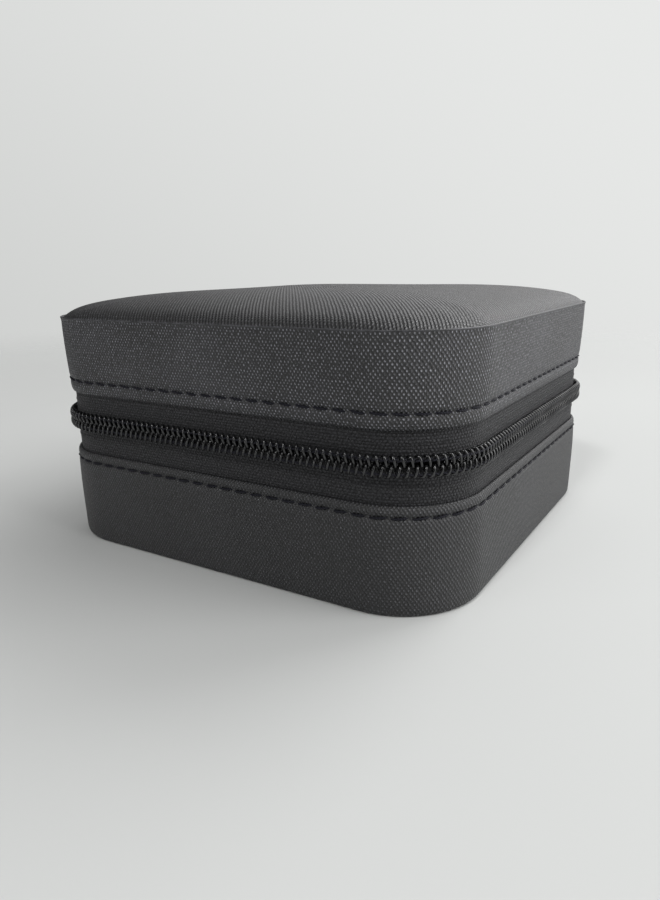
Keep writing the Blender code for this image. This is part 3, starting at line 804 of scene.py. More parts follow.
# Sections of the leather bands and the tapes, as (inset, z) in millimetres, closed
TRAY_BAND = (
    (3.0, 0.05), (1.5, 0.05), (1.02, 0.10), (0.70, 0.25), (0.48, 0.5), (0.34, 0.9), (0.26, 1.6),
    (0.20, 3.4), (0.12, 6.5), (0.04, 9.5), (-0.02, 13.0), (0.0, 16.0), (0.05, 17.6), (0.13, 18.2),
    (0.36, 18.5), (0.42, 18.7), (0.36, 18.9), (0.15, 19.2), (0.10, 19.7), (0.16, 20.2), (0.32, 20.6),
    (0.54, 20.8), (0.78, 20.84), (0.96, 20.7), (0.98, 20.4), (0.98, 18.7), (0.86, 17.6), (0.86, 2.6),
    (1.4, 1.3), (3.0, 0.85),
)  # fmt: skip
LID_BAND = (
    (0.98, 34.30), (0.86, 34.03), (0.64, 33.98), (0.44, 34.1), (0.26, 34.5), (0.12, 35.1), (0.06, 35.7),
    (0.10, 36.25), (0.32, 36.6), (0.38, 36.8), (0.32, 37.0), (0.08, 37.35), (-0.04, 38.0),
    (-0.14, 39.6), (-0.24, 41.5), (-0.33, 43.5), (-0.40, 45.6), (-0.44, 47.4), (-0.45, 48.9),
    (-0.44, 49.5), (-0.50, 49.85), (-0.55, 50.10), (-0.50, 50.33), (-0.36, 50.44), (-0.20, 50.38),
    (-0.08, 50.15), (-0.04, 49.7), (0.30, 49.2), (0.86, 48.9), (0.86, 38.0), (0.98, 36.8),
)  # fmt: skip
CREASE_EDGE = (
    (-0.34, 50.20), (-0.43, 50.13), (-0.52, 50.12), (-0.58, 50.18), (-0.61, 50.27), (-0.58, 50.37),
    (-0.51, 50.43), (-0.43, 50.42), (-0.35, 50.36), (-0.32, 50.28),
)  # fmt: skip
TRAY_TAPE = (
    (1.70, 16.6), (1.10, 16.6), (1.08, 20.2), (1.00, 21.4), (0.94, 22.6), (0.94, 23.75), (0.84, 23.9),
    (0.84, 24.1), (0.94, 24.25), (0.94, 24.9), (0.90, 25.5), (0.88, 27.5), (1.66, 27.5), (1.62, 25.6),
    (1.54, 24.2), (1.56, 21.5), (1.68, 19.5),
)  # fmt: skip
LID_TAPE = (
    (1.68, 36.5), (1.56, 34.5), (1.54, 31.8), (1.62, 30.4), (1.66, 28.5), (0.88, 28.5), (0.90, 30.5),
    (0.94, 31.1), (0.94, 31.75), (0.84, 31.9), (0.84, 32.1), (0.94, 32.25), (0.94, 33.4), (1.00, 34.6),
    (1.08, 35.8), (1.10, 38.2), (1.70, 38.2),
)  # fmt: skip

# The spine, in millimetres
SPINE_HALF = 31.0
SPINE_THICK = 0.6
SPINE_BULGE = 0.12

# Bars, dividers and ring rolls
SLOT_DEPTH = 1.4 * MM
SLOT_CLEARANCE = 0.3 * MM
BAR_EDGE = 0.35 * MM
DIVIDER_EDGE = 0.55 * MM
ROLL_STATIONS = 48
ROLL_ARC_STEPS = 16
ROLL_END_SHARE = 0.60
ROLL_SLACK_SHARE = 0.012

# The pocket's cloth and its elastic
POCKET_STATIONS = 380
POCKET_ROWS = 22
POCKET_THICK = 0.45 * MM
POCKET_RISE = 1.9 * MM
POCKET_PLEATS = 19
PLEAT_DEPTH = 0.62 * MM
ELASTIC_THICK = 1.15 * MM
ELASTIC_RUCHE = 0.20 * MM
ELASTIC_GATHERS = 38

# The necklace strap and its tabs
STRAP_CORNER = 0.8 * MM
STRAP_EDGE = 0.25 * MM
TAB_CORNER = 0.4 * MM
TAB_END_FLAT = 0.05 * MM
TAB_EDGE = 0.22 * MM
TAB_HOLE_RADIUS = 1.35 * MM

# Profiles of the snaps: (radius in millimetres or share of it, millimetres up from the free face)
AXIS_GAP = 0.02 * MM
STUD_NUB = ((0.72, 0.02), (0.96, 0.18), (0.98, 0.38), (0.86, 0.60), (0.92, 0.74))
STUD_FLANGE = ((0.8, 0.80), (0.97, 0.95), (1.0, 1.2), 0.98)
CAP_FLANGE = (
    (0.35, 0.01), (0.62, 0.06), (0.74, 0.16), (0.80, 0.14), (0.90, 0.20), (0.97, 0.40), (1.0, 0.62), 0.985,
)  # fmt: skip

# The slider on its run, and its pull
SLIDER_FRONT = 22.5 * MM
SLIDER_BACK = 31.5 * MM
SLIDER_FACE_X = -52.1 * MM
SLIDER_NARROW = 2.7 * MM
SLIDER_WIDE = 3.6 * MM
SLIDER_CORNER = 1.5 * MM
PULL_HOLE = 1.2 * MM
PULL_BORDER_HEIGHT = 0.1 * MM
PULL_TAPER_SHARE = 0.16
PULL_RIM_SHARE = 0.985
PULL_FIELD_SHARE = 0.62

# Level direction to the right of the photograph
PHOTO_RIGHT_X = 0.85
PHOTO_RIGHT_Y = 0.526


class CASE_OT_leather_bands(Operator):
    """Builds the leather bands round the tray and the lid"""

    bl_idname = "jewellery_case.leather_bands"
    bl_label = "Leather bands"

    def execute(self, context):
        period = sizes().grain_pitch / math.cos(GRAIN_SLOPE)
        # Same leather, painted lighter on the lid's band than on the tray's: a stronger painted glint where
        # more light falls.
        for body, section, painted_glint in (("tray", TRAY_BAND, 6.0), ("lid", LID_BAND, 20.0)):
            band = band_round_case(f"{body}_leather_band", section, leather(painted_glint=painted_glint), period=period)
            hand_over(band, body, "leather", f"{body}_side_leather")
        hand_over(band_round_case("lid_crease_edge", CREASE_EDGE, folded_edge()), "lid", "leather")
        return {"FINISHED"}


def crown_height(share):
    """Height of the padded top: steep at the seam, then a slow rise to the middle."""
    dome = (1 - CROWN_EDGE_SHARE) * (1 - share**CROWN_POWER)
    return CREASE_Z + CROWN_RISE * (dome + CROWN_EDGE_SHARE * (1 - share**CROWN_EDGE_POWER))


def crown_point(x, y, share, length):
    """A point of the padded top, with small puckers near its seam and a slack middle."""
    near = max(0.0, (share - PUCKER_FROM_SHARE) / (1 - PUCKER_FROM_SHARE))
    turn = length * 2 * math.pi
    fold = math.sin(turn / PUCKER_LENGTH) * math.sin(turn / PUCKER_GROUP_LENGTH + 1)
    pucker = PUCKER_DEPTH * fold * near * (1 - near) * 4
    sag = CROWN_SAG * math.sin(x * 61 + 0.5) * math.sin(y * 53 + 1.1) * (1 - share**2)
    z = crown_height(share) - CROWN_SEAM_DROP * near**5 + pucker + sag
    return Vector((x * share, y * share, z))


class CASE_OT_crown(Operator):
    """Builds the padded top of the lid, with small puckers along its seam"""

    bl_idname = "jewellery_case.crown"
    bl_label = "Padded top"

    def execute(self, context):
        edge = case_path(CROWN_EDGE_INSET)
        run = run_lengths(edge, True)
        rings = []
        for share, rise in ((0.35, 0.0), (0.978, 0.0), (0.994, 0.55 * MM)):
            rings.append([Vector((x * share, y * share, CROWN_FOOT_Z + rise)) for x, y in edge])
        for step in range(CROWN_RINGS + 1):
            share = math.cos(math.pi / 2 * step / (CROWN_RINGS + 1))
            rings.append([crown_point(x, y, share, length) for (x, y), length in zip(edge, run)])
        # The padded top's leather gets a weaker painted glint of its own.
        crown = from_rings("lid_crown", rings, leather(painted_glint=5.0), laid_uvs(rings), sharp=60)
        hand_over(crown, "lid", "leather", "lid_top_leather", "lid_foam")
        return {"FINISHED"}


class CASE_OT_stitches(Operator):
    """Sews the leather bands down with one row of stitches each"""

    bl_idname = "jewellery_case.stitches"
    bl_label = "Stitches"

    def execute(self, context):
        tree = stitch_tree()
        values = {
            "Count": round(run_lengths(case_path(0.0), True)[-1] / sizes().stitch_pitch),
            "Length": sizes().stitch_length,
            "Thickness": sizes().stitch_thickness,
            "Sink": STITCH_SINK,
        }
        for body, z, slant in (("tray", TRAY_STITCH_Z, STITCH_LEAN), ("lid", LID_STITCH_Z, -STITCH_LEAN)):
            name = f"{body}_stitches"
            carrier = outline_run(name + "_line", STITCH_INSET, z, True)
            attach(grown(name, carrier, tree, {**values, "Slant": slant}, thread()), body)
        return {"FINISHED"}


class CASE_OT_zip_tapes(Operator):
    """Builds the woven tapes of the zip"""

    bl_idname = "jewellery_case.zip_tapes"
    bl_label = "Zip tapes"

    def execute(self, context):
        for body, section in (("tray", TRAY_TAPE), ("lid", LID_TAPE)):
            tape = band_round_case(f"{body}_woven_tape", section, tape_cloth(), False, TAPE_END_X)
            hand_over(tape, body, "tape", f"{body}_zip_tape")
        return {"FINISHED"}


class CASE_OT_zip_coils(Operator):
    """Winds the two meshing rows of nylon coil"""

    bl_idname = "jewellery_case.zip_coils"
    bl_label = "Zip coils"

    def execute(self, context):
        tree = coil_tree()
        nylon = finish_for("nylon_wire", nylon_wire, colours().nylon)
        values = {"Turns": sizes().coil_turns, "Wire": sizes().coil_wire}
        for body, side, phase in (("tray", -1.0, 0.5), ("lid", 1.0, 0.0)):
            name = f"{body}_wound_coil"
            carrier = outline_run(name + "_line", 0.0, PARTING_Z, False, COIL_END_X)
            coil = grown(name, carrier, tree, {**values, "Side": side, "Phase": phase}, nylon)
            hand_over(coil, body, "nylon", f"{body}_zip_coil")
        return {"FINISHED"}


class CASE_OT_coil_threads(Operator):
    """Sews each coil to its tape with a row of short stitches over the wire"""

    bl_idname = "jewellery_case.coil_threads"
    bl_label = "Coil threads"

    def execute(self, context):
        tree = stitch_tree()
        count = sizes().coil_turns
        length = run_lengths(case_path(0.0, False, COIL_END_X), False)[-1]
        values = {
            "Count": count,
            "Length": length / count * COIL_THREAD_OVERLAP_SHARE,
            "Thickness": COIL_THREAD_THICK,
            "Sink": COIL_THREAD_SINK,
        }
        for body, side in (("tray", -1.0), ("lid", 1.0)):
            name = f"{body}_coil_thread"
            z = PARTING_Z + side * COIL_THREAD_RISE
            carrier = outline_run(name + "_line", -COIL_THREAD_OUT, z, False, COIL_END_X)
            row = grown(name, carrier, tree, {**values, "Slant": COIL_THREAD_LEAN * side}, thread())
            hand_over(row, body, "tape")
        return {"FINISHED"}


class CASE_OT_spine(Operator):
    """Builds the leather spine and its velvet lining"""

    bl_idname = "jewellery_case.spine"
    bl_label = "Spine"

    def execute(self, context):
        columns = np.linspace(-SPINE_HALF, SPINE_HALF, 24)
        for name, node, inner, low, high, finish, slot in (
            ("spine_hinge_leather", "spine_leather", 48.3, 16.6, 38.2, leather(), "leather"),
            ("spine_inner_velvet", "spine_lining", 47.4, 23.0, 33.0, velvet(), "velvet"),
        ):
            rings = []
            for share in np.linspace(0, 1, 41):
                z = low + (high - low) * share
                y = inner + SPINE_BULGE * math.sin(math.pi * share)
                outside = [Vector((x, y + SPINE_THICK, z)) * MM for x in columns]
                rings.append(outside + [Vector((x, y, z)) * MM for x in columns[::-1]])
            strip = from_rings(name, rings, finish, laid_uvs(rings, 0, 2), sharp=40)
            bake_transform(strip)
            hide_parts(node)
        return {"FINISHED"}


def wall_cloth(name, node, body, rim_up):
    """Cloth on the inner wall, with a soft fold where it ends at the rim."""
    low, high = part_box(node)
    out, inner = (HALF - high.x) / MM, LINING_IN / MM
    foot, rim = (low.z / MM, high.z / MM) if rim_up else (high.z / MM, low.z / MM)
    toward = 1 if rim_up else -1
    middle = (out + inner) / 2
    section = [(out, foot), (out, rim - toward * 0.45), (out + 0.10, rim - toward * 0.14)]
    section += [(middle, rim), (inner - 0.12, rim - toward * 0.10), (inner, rim - toward * 0.42)]
    section += [(inner, foot + toward * 0.5), (inner - 0.12, foot + toward * 0.15), (middle, foot)]
    hand_over(band_round_case(name, section, velvet()), body, "velvet", node)


def soft_panel(name, node, body, material, slot, edge, wave):
    """A flat panel with round corners, soft edges and faces that are not quite even."""
    low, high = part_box(node)
    inset = HALF - high.x
    levels = [(edge, low.z), (edge * 0.3, low.z + edge * 0.3), (0, low.z + edge)]
    levels += [(0, high.z - edge), (edge * 0.3, high.z - edge * 0.3), (edge, high.z)]
    edges = [[Vector((x, y, z)) for x, y in case_path(inset + depth)] for depth, z in levels]
    tops, feet = [], []
    for share in (0.96, 0.9, 0.8, 0.68, 0.55, 0.42, 0.3, 0.18, 0.06):
        ease = min(1.0, (1 - share) / 0.2)
        for (depth, z), made in ((levels[-1], tops), (levels[0], feet)):
            ring = []
            for x, y in case_path(inset + depth):
                lift = wave * ease * math.sin(x * share * 190 + 1) * math.sin(y * share * 160)
                ring.append(Vector((x * share, y * share, z + lift)))
            made.append(ring)
    panel = from_rings(name, feet[::-1] + edges + tops, material, sharp=60)
    hand_over(panel, body, slot, node)


class CASE_OT_linings(Operator):
    """Builds the velvet linings and the leather bottom, and finishes the boards"""

    bl_idname = "jewellery_case.linings"
    bl_label = "Boards and linings"

    def execute(self, context):
        board = finish_for("paper_wrapped_board", wrapped_board, colours().board)
        for name, finish in (("tray_board", board), ("lid_board", board), ("ring_bed", velvet())):
            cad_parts[name].data.materials[0] = finish
        wall_cloth("tray_wall_velvet", "tray_wall_lining", "tray", True)
        wall_cloth("lid_wall_velvet", "lid_wall_lining", "lid", False)
        plain = leather(by_uv=False)
        for name, node, body, finish, slot, edge, wave in (
            ("tray_floor_velvet", "tray_floor_lining", "tray", velvet(), "velvet", 0.35, 0.06),
            ("lid_ceiling_velvet", "lid_ceiling_lining", "lid", velvet(), "velvet", 0.35, 0.06),
            ("bottom_panel", "bottom_leather", "tray", plain, "leather", 0.25, 0.02),
        ):
            soft_panel(name, node, body, finish, slot, edge * MM, wave * MM)
        return {"FINISHED"}


def slotted_bar(name, node, toward):
    """A velvet-covered bar with soft edges and a slot for each divider in one side."""
    low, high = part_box(node)
    plain, slotted = (low.y, high.y) if toward > 0 else (high.y, low.y)
    floor = slotted - toward * SLOT_DEPTH
    outline = [(low.x, plain), (low.x, slotted)]
    for divider in ("divider_1", "divider_2"):
        first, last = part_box(divider)
        left, right = first.x - SLOT_CLEARANCE, last.x + SLOT_CLEARANCE
        outline += [(left, slotted), (left, floor), (right, floor), (right, slotted)]
    outline += [(high.x, slotted), (high.x, plain)]
    if toward > 0:
        outline.reverse()
    bar = plate(name, [outline], low.z, high.z, BAR_EDGE, velvet())
    hand_over(bar, "tray", "velvet", node)


class CASE_OT_partition(Operator):
    """Builds the fixed partition and the slotted rail that hold the dividers"""

    bl_idname = "jewellery_case.partition"
    bl_label = "Partition and rail"

    def execute(self, context):
        slotted_bar("velvet_partition", "partition", 1)
        slotted_bar("velvet_rail", "divider_rail", -1)
        return {"FINISHED"}


class CASE_OT_dividers(Operator):
    """Builds the velvet-covered dividers that lift out"""

    bl_idname = "jewellery_case.dividers"
    bl_label = "Dividers"

    def execute(self, context):
        for node, body in (("divider_1", "divider_left"), ("divider_2", "divider_right")):
            low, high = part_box(node)
            divider = soft_block(f"{body}_velvet", low, high, velvet(), DIVIDER_EDGE)
            hand_over(divider, body, "velvet", node)
        return {"FINISHED"}


class CASE_OT_ring_rolls(Operator):
    """Builds the six velvet rolls that hold rings between them"""

    bl_idname = "jewellery_case.ring_rolls"
    bl_label = "Ring rolls"

    def execute(self, context):
        for number in range(1, 7):
            low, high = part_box(f"ring_roll_{number}")
            middle_y = (low.y + high.y) / 2
            half_length, half_width = (high.x - low.x) / 2, (high.y - low.y) / 2
            height = high.z - low.z
            rings = []
            for station in range(ROLL_STATIONS + 1):
                angle = math.pi * station / ROLL_STATIONS
                x = -half_length * math.cos(angle)
                swell = ROLL_END_SHARE + (1 - ROLL_END_SHARE) * math.sin(angle) ** 0.42
                slack = 1 - ROLL_SLACK_SHARE * math.sin(x * 420 + number * 1.7)
                wide, tall = half_width * swell * slack, height * swell
                section = [(wide * 0.80, 0.0), (wide * 0.93, tall * 0.06), (wide, tall * 0.22)]
                shoulder = tall - wide
                for step in range(ROLL_ARC_STEPS + 1):
                    turn = math.pi * step / ROLL_ARC_STEPS
                    section.append((wide * math.cos(turn), shoulder + wide * math.sin(turn)))
                section += [(-wide, tall * 0.22), (-wide * 0.93, tall * 0.06), (-wide * 0.80, 0.0)]
                rings.append([Vector((x, middle_y + y, low.z + z)) for y, z in section])
            roll = from_rings(f"velvet_roll_{number}", rings, velvet(), sharp=70)
            hand_over(roll, "tray", "velvet", f"ring_roll_{number}")
        return {"FINISHED"}


def pocket_lift(across, along):
    """Rise of the gathered cloth off the lining, in metres, for shares across and along."""
    from_side = math.sin(math.pi * across) ** 0.5 if 0 < across < 1 else 0.0
    turn = 2 * math.pi * POCKET_PLEATS * across + 0.9 * math.sin(2 * math.pi * 3.3 * across)
    pleat = 1 - 2 * abs(math.sin(turn / 2)) ** 0.7
    fine = math.sin(2 * math.pi * 43 * across + 2.0 * math.sin(5 * across)) * 0.25
    fold = PLEAT_DEPTH * (pleat + fine * along)
    rise = POCKET_RISE + fold * (0.35 + 0.65 * along)
    return from_side * math.sin(math.pi / 2 * along) ** 0.8 * rise


def squared(value, power):
    """The value with its size raised to a power below 1, which squares a round section."""
    return math.copysign(abs(value) ** power, value)


def elastic_ring(x, top, front, back, across):
    """One section of the ruched elastic at the pocket's mouth."""
    turn = 2 * math.pi * ELASTIC_GATHERS * across + 1.2 * math.sin(20 * across)
    ruche = ELASTIC_RUCHE * math.sin(turn)
    half_thick = (ELASTIC_THICK + ruche) / 2
    front -= ruche
    middle_y, half_wide = (front + back) / 2, (back - front) / 2
    return [
        Vector((x, middle_y + half_wide * squared(c, 0.6), top - half_thick + half_thick * squared(s, 0.8)))
        for c, s in around(12)
    ]


class CASE_OT_pocket(Operator):
    """Builds the gathered pocket in the lid and its ruched elastic edge"""

    bl_idname = "jewellery_case.pocket"
    bl_label = "Lid pocket"

    def execute(self, context):
        low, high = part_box("lid_pocket")
        band_low, band_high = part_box("pocket_band")
        mouth, seam = low.y, high.y
        cloth, edge = [], []
        for across in (station / POCKET_STATIONS for station in range(POCKET_STATIONS + 1)):
            x = low.x + (high.x - low.x) * across
            upper, lower = [], []
            for along in (row / POCKET_ROWS for row in range(POCKET_ROWS + 1)):
                y = seam + (mouth - seam) * along
                z = high.z - pocket_lift(across, along)
                upper.append(Vector((x, y, z)))
                lower.append(Vector((x, y, z - POCKET_THICK)))
            cloth.append(upper + lower[::-1])
            top = high.z - pocket_lift(across, 1.0)
            edge.append(elastic_ring(x, top, band_low.y, band_high.y, across))
        satin = finish_for("satin_cloth", satin_cloth, colours().satin)
        pocket = from_rings("gathered_pocket", cloth, satin, laid_uvs(cloth, stretch=1.4), sharp=70)
        hand_over(pocket, "lid", "satin", "lid_pocket")
        band = from_rings("elastic_edge", edge, tape_cloth(), laid_uvs(edge), sharp=70)
        hand_over(band, "lid", "elastic", "pocket_band")
        return {"FINISHED"}


def snap_part(name, node, centre, nub, flange, material):
    """A turned half of a snap, from its free face up: a nub, then a flange as wide as the solid.

    The nub's radii are in millimetres, the flange's are shares of its own. Its last is at the top."""
    low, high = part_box(node)
    radius = (high.x - low.x) / 2
    profile = [(AXIS_GAP, low.z)] + [(r * MM, low.z + z * MM) for r, z in nub]
    profile += [(radius * share, low.z + z * MM) for share, z in flange[:-1]]
    profile += [(radius * flange[-1], high.z), (AXIS_GAP, high.z)]
    return lathe(name, profile, centre, material)


class CASE_OT_necklace_tabs(Operator):
    """Builds the strap across the lid with its three snap tabs"""

    bl_idname = "jewellery_case.necklace_tabs"
    bl_label = "Necklace strap and tabs"

    def execute(self, context):
        snap = finish_for("snap_nickel", cast_metal, colours().snap, 0.22)
        plain = leather(by_uv=False)
        low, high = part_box("necklace_strap")
        outline = rounded_rectangle((low.x, low.y), (high.x, high.y), (STRAP_CORNER,) * 4)
        strap = plate("sewn_strap", [outline], low.z, high.z, STRAP_EDGE, plain)
        hand_over(strap, "lid", "leather", "necklace_strap")
        for number, body in enumerate(("tab_left", "tab_middle", "tab_right"), 1):
            cap_node = f"snap_cap_{number}"
            stud_node = f"snap_stud_{number}"
            cap_low, cap_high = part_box(cap_node)
            centre = ((cap_low.x + cap_high.x) / 2, (cap_low.y + cap_high.y) / 2)
            low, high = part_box(f"necklace_tab_{number}")
            end = (high.x - low.x) / 2 - TAB_END_FLAT
            radii = (TAB_CORNER, TAB_CORNER, end, end)
            outline = rounded_rectangle((low.x, low.y), (high.x, high.y), radii, steps=14)
            hole = circle(*centre, TAB_HOLE_RADIUS)[::-1]
            tab = plate(f"{body}_leather", [outline, hole], low.z, high.z, TAB_EDGE, plain)
            hand_over(tab, body, "leather", f"necklace_tab_{number}")
            cap = snap_part(f"{body}_snap_cap", cap_node, centre, (), CAP_FLANGE, snap)
            hand_over(cap, body, "nickel", cap_node)
            stud = snap_part(f"lid_snap_stud_{number}", stud_node, centre, STUD_NUB, STUD_FLANGE, snap)
            hand_over(stud, "lid", "nickel", stud_node)
        return {"FINISHED"}


def bail_arch(name, low, high, material):
    """A flattened wire arch that stands on the slider's face, from low to high along Y."""
    sink, wire, half_width = 0.3 * MM, 0.42 * MM, 0.75 * MM
    reach, lift = (high[1] - low[1]) / 2 - wire, low[0] - high[0] - wire
    rings = []
    for angle in np.linspace(0, math.pi, 29):
        normal = Vector((-math.sin(angle), math.cos(angle), 0))
        centre = Vector((low[0] + sink - (lift + sink) * abs(math.sin(angle)) ** 0.8, 0, PARTING_Z))
        centre.y = (low[1] + high[1]) / 2 + reach * math.cos(angle)
        ring = [
            centre + normal * wire * c + Vector((0, 0, squared(s, 0.7) * half_width))
            for c, s in around(14)
        ]
        rings.append(ring)
    return from_rings(name, rings, material)


def shield(front, back, narrow, wide, radius):
    """Plan of a slider plate: narrow at the front, wide at the back, with round corners."""
    corners = [Vector(p) for p in ((front, -narrow), (back, -wide), (back, wide), (front, narrow))]
    points = []
    for i, here in enumerate(corners):
        start = here + (corners[i - 1] - here).normalized() * radius
        end = here + (corners[(i + 1) % 4] - here).normalized() * radius
        for t in (step / 8 for step in range(9)):
            point = start * (1 - t) ** 2 + here * (2 * t * (1 - t)) + end * t**2
            points.append((point.x, point.y + PARTING_Z))
    return points


def make_slider(enamel):
    """The slider: two plates, the wedge between the coils, the flange over one tape and the bail."""
    body = [shield(SLIDER_FRONT, SLIDER_BACK, SLIDER_NARROW, SLIDER_WIDE, SLIDER_CORNER)]
    parts = [
        plate("slider_face", body, SLIDER_FACE_X, -51.2 * MM, 0.28 * MM, enamel, upright=True),
        plate("slider_back", body, -48.0 * MM, -47.4 * MM, 0.15 * MM, enamel, upright=True),
    ]
    for name, low, high, edge in (
        ("slider_wedge", (-51.5, 28.9, -0.15), (-47.7, 31.5, 0.15), 0.1),
        ("slider_flange", (-51.65, 23.5, -3.05), (-49.2, 30.8, -2.45), 0.25),
    ):
        lift = Vector((0, 0, PARTING_Z))
        parts.append(soft_block(name, Vector(low) * MM + lift, Vector(high) * MM + lift, enamel, edge * MM))
    parts.append(bail_arch("slider_bail", (SLIDER_FACE_X, 23.9 * MM), (-54.5 * MM, 30.1 * MM), enamel))
    return joined("cast_slider", parts)


def make_pull(enamel):
    """The pull: a tag with a window for the bail and a grip hole, and a raised border on both faces."""
    low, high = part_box("zip_pull")
    half = (high.z - low.z) / 2
    outline = []
    for y, z in rounded_rectangle((low.y, -half), (high.y, half), (2.4 * MM, 1.6 * MM) * 2, 10):
        share = (y - low.y) / (high.y - low.y)
        outline.append((y, PARTING_Z + z * (1 - PULL_TAPER_SHARE * share)))
    window_low = (high.y - 5.1 * MM, PARTING_Z - PULL_HOLE)
    window_high = (high.y - 0.9 * MM, PARTING_Z + PULL_HOLE)
    window = rounded_rectangle(window_low, window_high, (0.7 * MM,) * 4)[::-1]
    grip = circle(low.y + 2.4 * MM, PARTING_Z, PULL_HOLE)[::-1]
    middle = Vector(((low.y + high.y) / 2, PARTING_Z))
    rim = [tuple(middle + (Vector(point) - middle) * PULL_RIM_SHARE) for point in outline]
    field_low = (low.y + 4.6 * MM, PARTING_Z - half * PULL_FIELD_SHARE)
    field_high = (high.y - 6.4 * MM, PARTING_Z + half * PULL_FIELD_SHARE)
    field = rounded_rectangle(field_low, field_high, (0.9 * MM,) * 4)[::-1]
    tag_low, tag_high = low.x + PULL_BORDER_HEIGHT, high.x - PULL_BORDER_HEIGHT
    parts = [
        plate("pull_tag", [outline, window, grip], tag_low, tag_high, 0.2 * MM, enamel, upright=True),
        plate("pull_border", [rim, window, grip, field], low.x, high.x, 0.12 * MM, enamel, upright=True),
    ]
    return joined("cast_pull", parts)


class CASE_OT_slider(Operator):
    """Builds the zip slider and its pull"""

    bl_idname = "jewellery_case.slider"
    bl_label = "Slider and pull"

    def execute(self, context):
        enamel = finish_for("slider_enamel", cast_metal, colours().slider, 0.26)
        hand_over(make_slider(enamel), "slider", "black_metal", "zip_slider")
        hand_over(make_pull(enamel), "pull", "black_metal", "zip_pull")
        return {"FINISHED"}


class CASE_OT_stage(Operator):
    """Sets the floor, the lamps, the world and the camera"""

    bl_idname = "jewellery_case.stage"
    bl_label = "Stage"

    def execute(self, context):
        make_floor()
        make_world()
        make_lamps()
        make_camera()
        context.scene.view_settings.view_transform = "Standard"
        return {"FINISHED"}


def make_floor():
    """A disc of floor that fades out into the background far from the case, its colour painted lighter to
    the right and darker far from the case as painted light.
    """
    made = bmesh.new()
    bmesh.ops.create_circle(made, cap_ends=True, radius=1.6, segments=96)
    finish = Finish("floor_paper", False, {"Specular IOR Level": 0.2, "Roughness": 0.9})
    x, y, _ = finish.split()
    far = (x * x + y * y) ** 0.5
    # Painted light: the floor is painted lighter towards the right and darker with distance, for how the
    # light falls on it.
    right = (x * PHOTO_RIGHT_X + y * PHOTO_RIGHT_Y).smooth(-0.25, 0.20)
    shade = right + finish.noise(900.0, 3.0) * 0.04 - far.smooth(0.09, 0.35) * 0.5
    finish.tint(shade, colours().floor, 0.88, 1.02)
    graph = finish.graph
    clear = graph.first("ShaderNodeBsdfTransparent")
    values = {0: far.smooth(0.17, 0.62), 1: finish.shader.outputs[0], 2: clear}
    surface = graph.tree.nodes["Material Output"].inputs["Surface"]
    graph.feed(surface, graph.first("ShaderNodeMixShader", values))
    link_mesh("floor", plain_mesh("floor", made), finish.material)


def make_world():
    """A pale backdrop for the camera and for glass, and a room with one bright side that lights the case."""
    world = bpy.data.worlds.new("studio")
    bpy.context.scene.world = world
    world.use_nodes = True
    graph = Graph(world.node_tree)
    x, y, up = graph.split(graph.node("ShaderNodeTexCoord").outputs["Generated"])
    path = graph.node("ShaderNodeLightPath").outputs
    seen = graph.math("MAXIMUM", path["Is Camera Ray"], path["Is Transmission Ray"])
    right = x * PHOTO_RIGHT_X + y * PHOTO_RIGHT_Y
    shade = (up * 0.6 + right * 0.55).smooth(-0.7, 0.50)
    pale = graph.colour_mix(shade, (0.56, 0.57, 0.56, 1.0), (0.81, 0.82, 0.81, 1.0))
    window = (x * 0.60 + y * 0.80 - up * 0.15).smooth(-0.42, 0.60)
    room = graph.colour_mix(window, (0.07, 0.07, 0.07, 1.0), (1.0, 1.0, 1.0, 1.0))
    graph.feed(world.node_tree.nodes["Background"].inputs["Color"], graph.colour_mix(seen, room, pale))


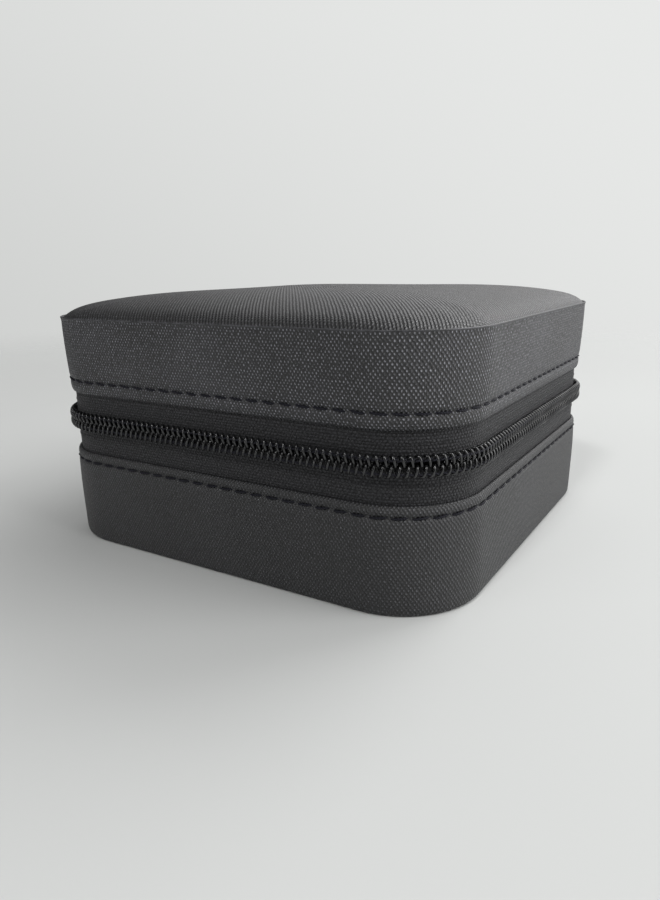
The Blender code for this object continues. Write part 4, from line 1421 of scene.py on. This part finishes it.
def make_lamps():
    """Broad lamps at the back and the right, a small one over the front edge, and two weak fills."""
    for name, place, size, power in (
        ("lamp_over", (0.30, 0.85, 0.80), 0.7, 6.0),
        ("lamp_right", (1.10, 0.20, 0.70), 0.9, 7.8),
        ("lamp_spark", (0.05, -0.72, 0.90), 0.16, 3.4),
        ("lamp_front", (-0.40, -0.95, 0.70), 0.4, 0.8),
        ("lamp_low", (-0.68, -0.76, 0.15), 0.16, 0.9),
    ):
        data = bpy.data.lights.new(name, "AREA")
        data.shape = "SQUARE"
        data.size = size
        data.energy = power
        lamp = link_object(name, data)
        aim = Vector((0, 0, 0.03)) - Vector(place)
        lamp.rotation_euler = aim.to_track_quat("-Z", "Y").to_euler()
        lamp.location = place


def make_camera():
    """The camera that the photograph was fitted to."""
    data = bpy.data.cameras.new("camera")
    data.sensor_width = 36.0
    data.lens = 27.458
    data.clip_start = 0.01
    camera = link_object("camera", data)
    right = Vector((0.85017, 0.52623, -0.01724))
    up = Vector((-0.12369, 0.23144, 0.96495))
    turn = Matrix((right, up, right.cross(up))).transposed()
    camera.matrix_world = Matrix.Translation((0.088365, -0.146559, 0.060626)) @ turn.to_4x4()
    bpy.context.scene.camera = camera


PIECES = (
    CASE_OT_leather_bands,
    CASE_OT_crown,
    CASE_OT_stitches,
    CASE_OT_zip_tapes,
    CASE_OT_zip_coils,
    CASE_OT_coil_threads,
    CASE_OT_spine,
    CASE_OT_linings,
    CASE_OT_partition,
    CASE_OT_dividers,
    CASE_OT_ring_rolls,
    CASE_OT_pocket,
    CASE_OT_necklace_tabs,
    CASE_OT_slider,
    CASE_OT_stage,
)


class CASE_PT_build(Panel):
    """Lists the settings and the pieces of the case"""

    bl_idname = "CASE_PT_build"
    bl_label = "Jewellery case"
    bl_space_type = "VIEW_3D"
    bl_region_type = "UI"
    bl_category = "Jewellery case"

    def draw(self, context):
        for group in (context.scene.case_sizes, context.scene.case_colours):
            box = self.layout.box()
            for name in group.__annotations__:
                box.prop(group, name)
        for piece in PIECES:
            self.layout.operator(piece.bl_idname)


CLASSES = (CaseSizes, CaseColours, *PIECES, CASE_PT_build)


def register():
    for each in CLASSES:
        bpy.utils.register_class(each)
    bpy.types.Scene.case_sizes = PointerProperty(type=CaseSizes)
    bpy.types.Scene.case_colours = PointerProperty(type=CaseColours)


def unregister():
    del bpy.types.Scene.case_colours
    del bpy.types.Scene.case_sizes
    for each in reversed(CLASSES):
        bpy.utils.unregister_class(each)


def main():
    register()
    for piece in PIECES:
        group, name = piece.bl_idname.split(".")
        getattr(getattr(bpy.ops, group), name)()


if __name__ == "__main__":
    main()
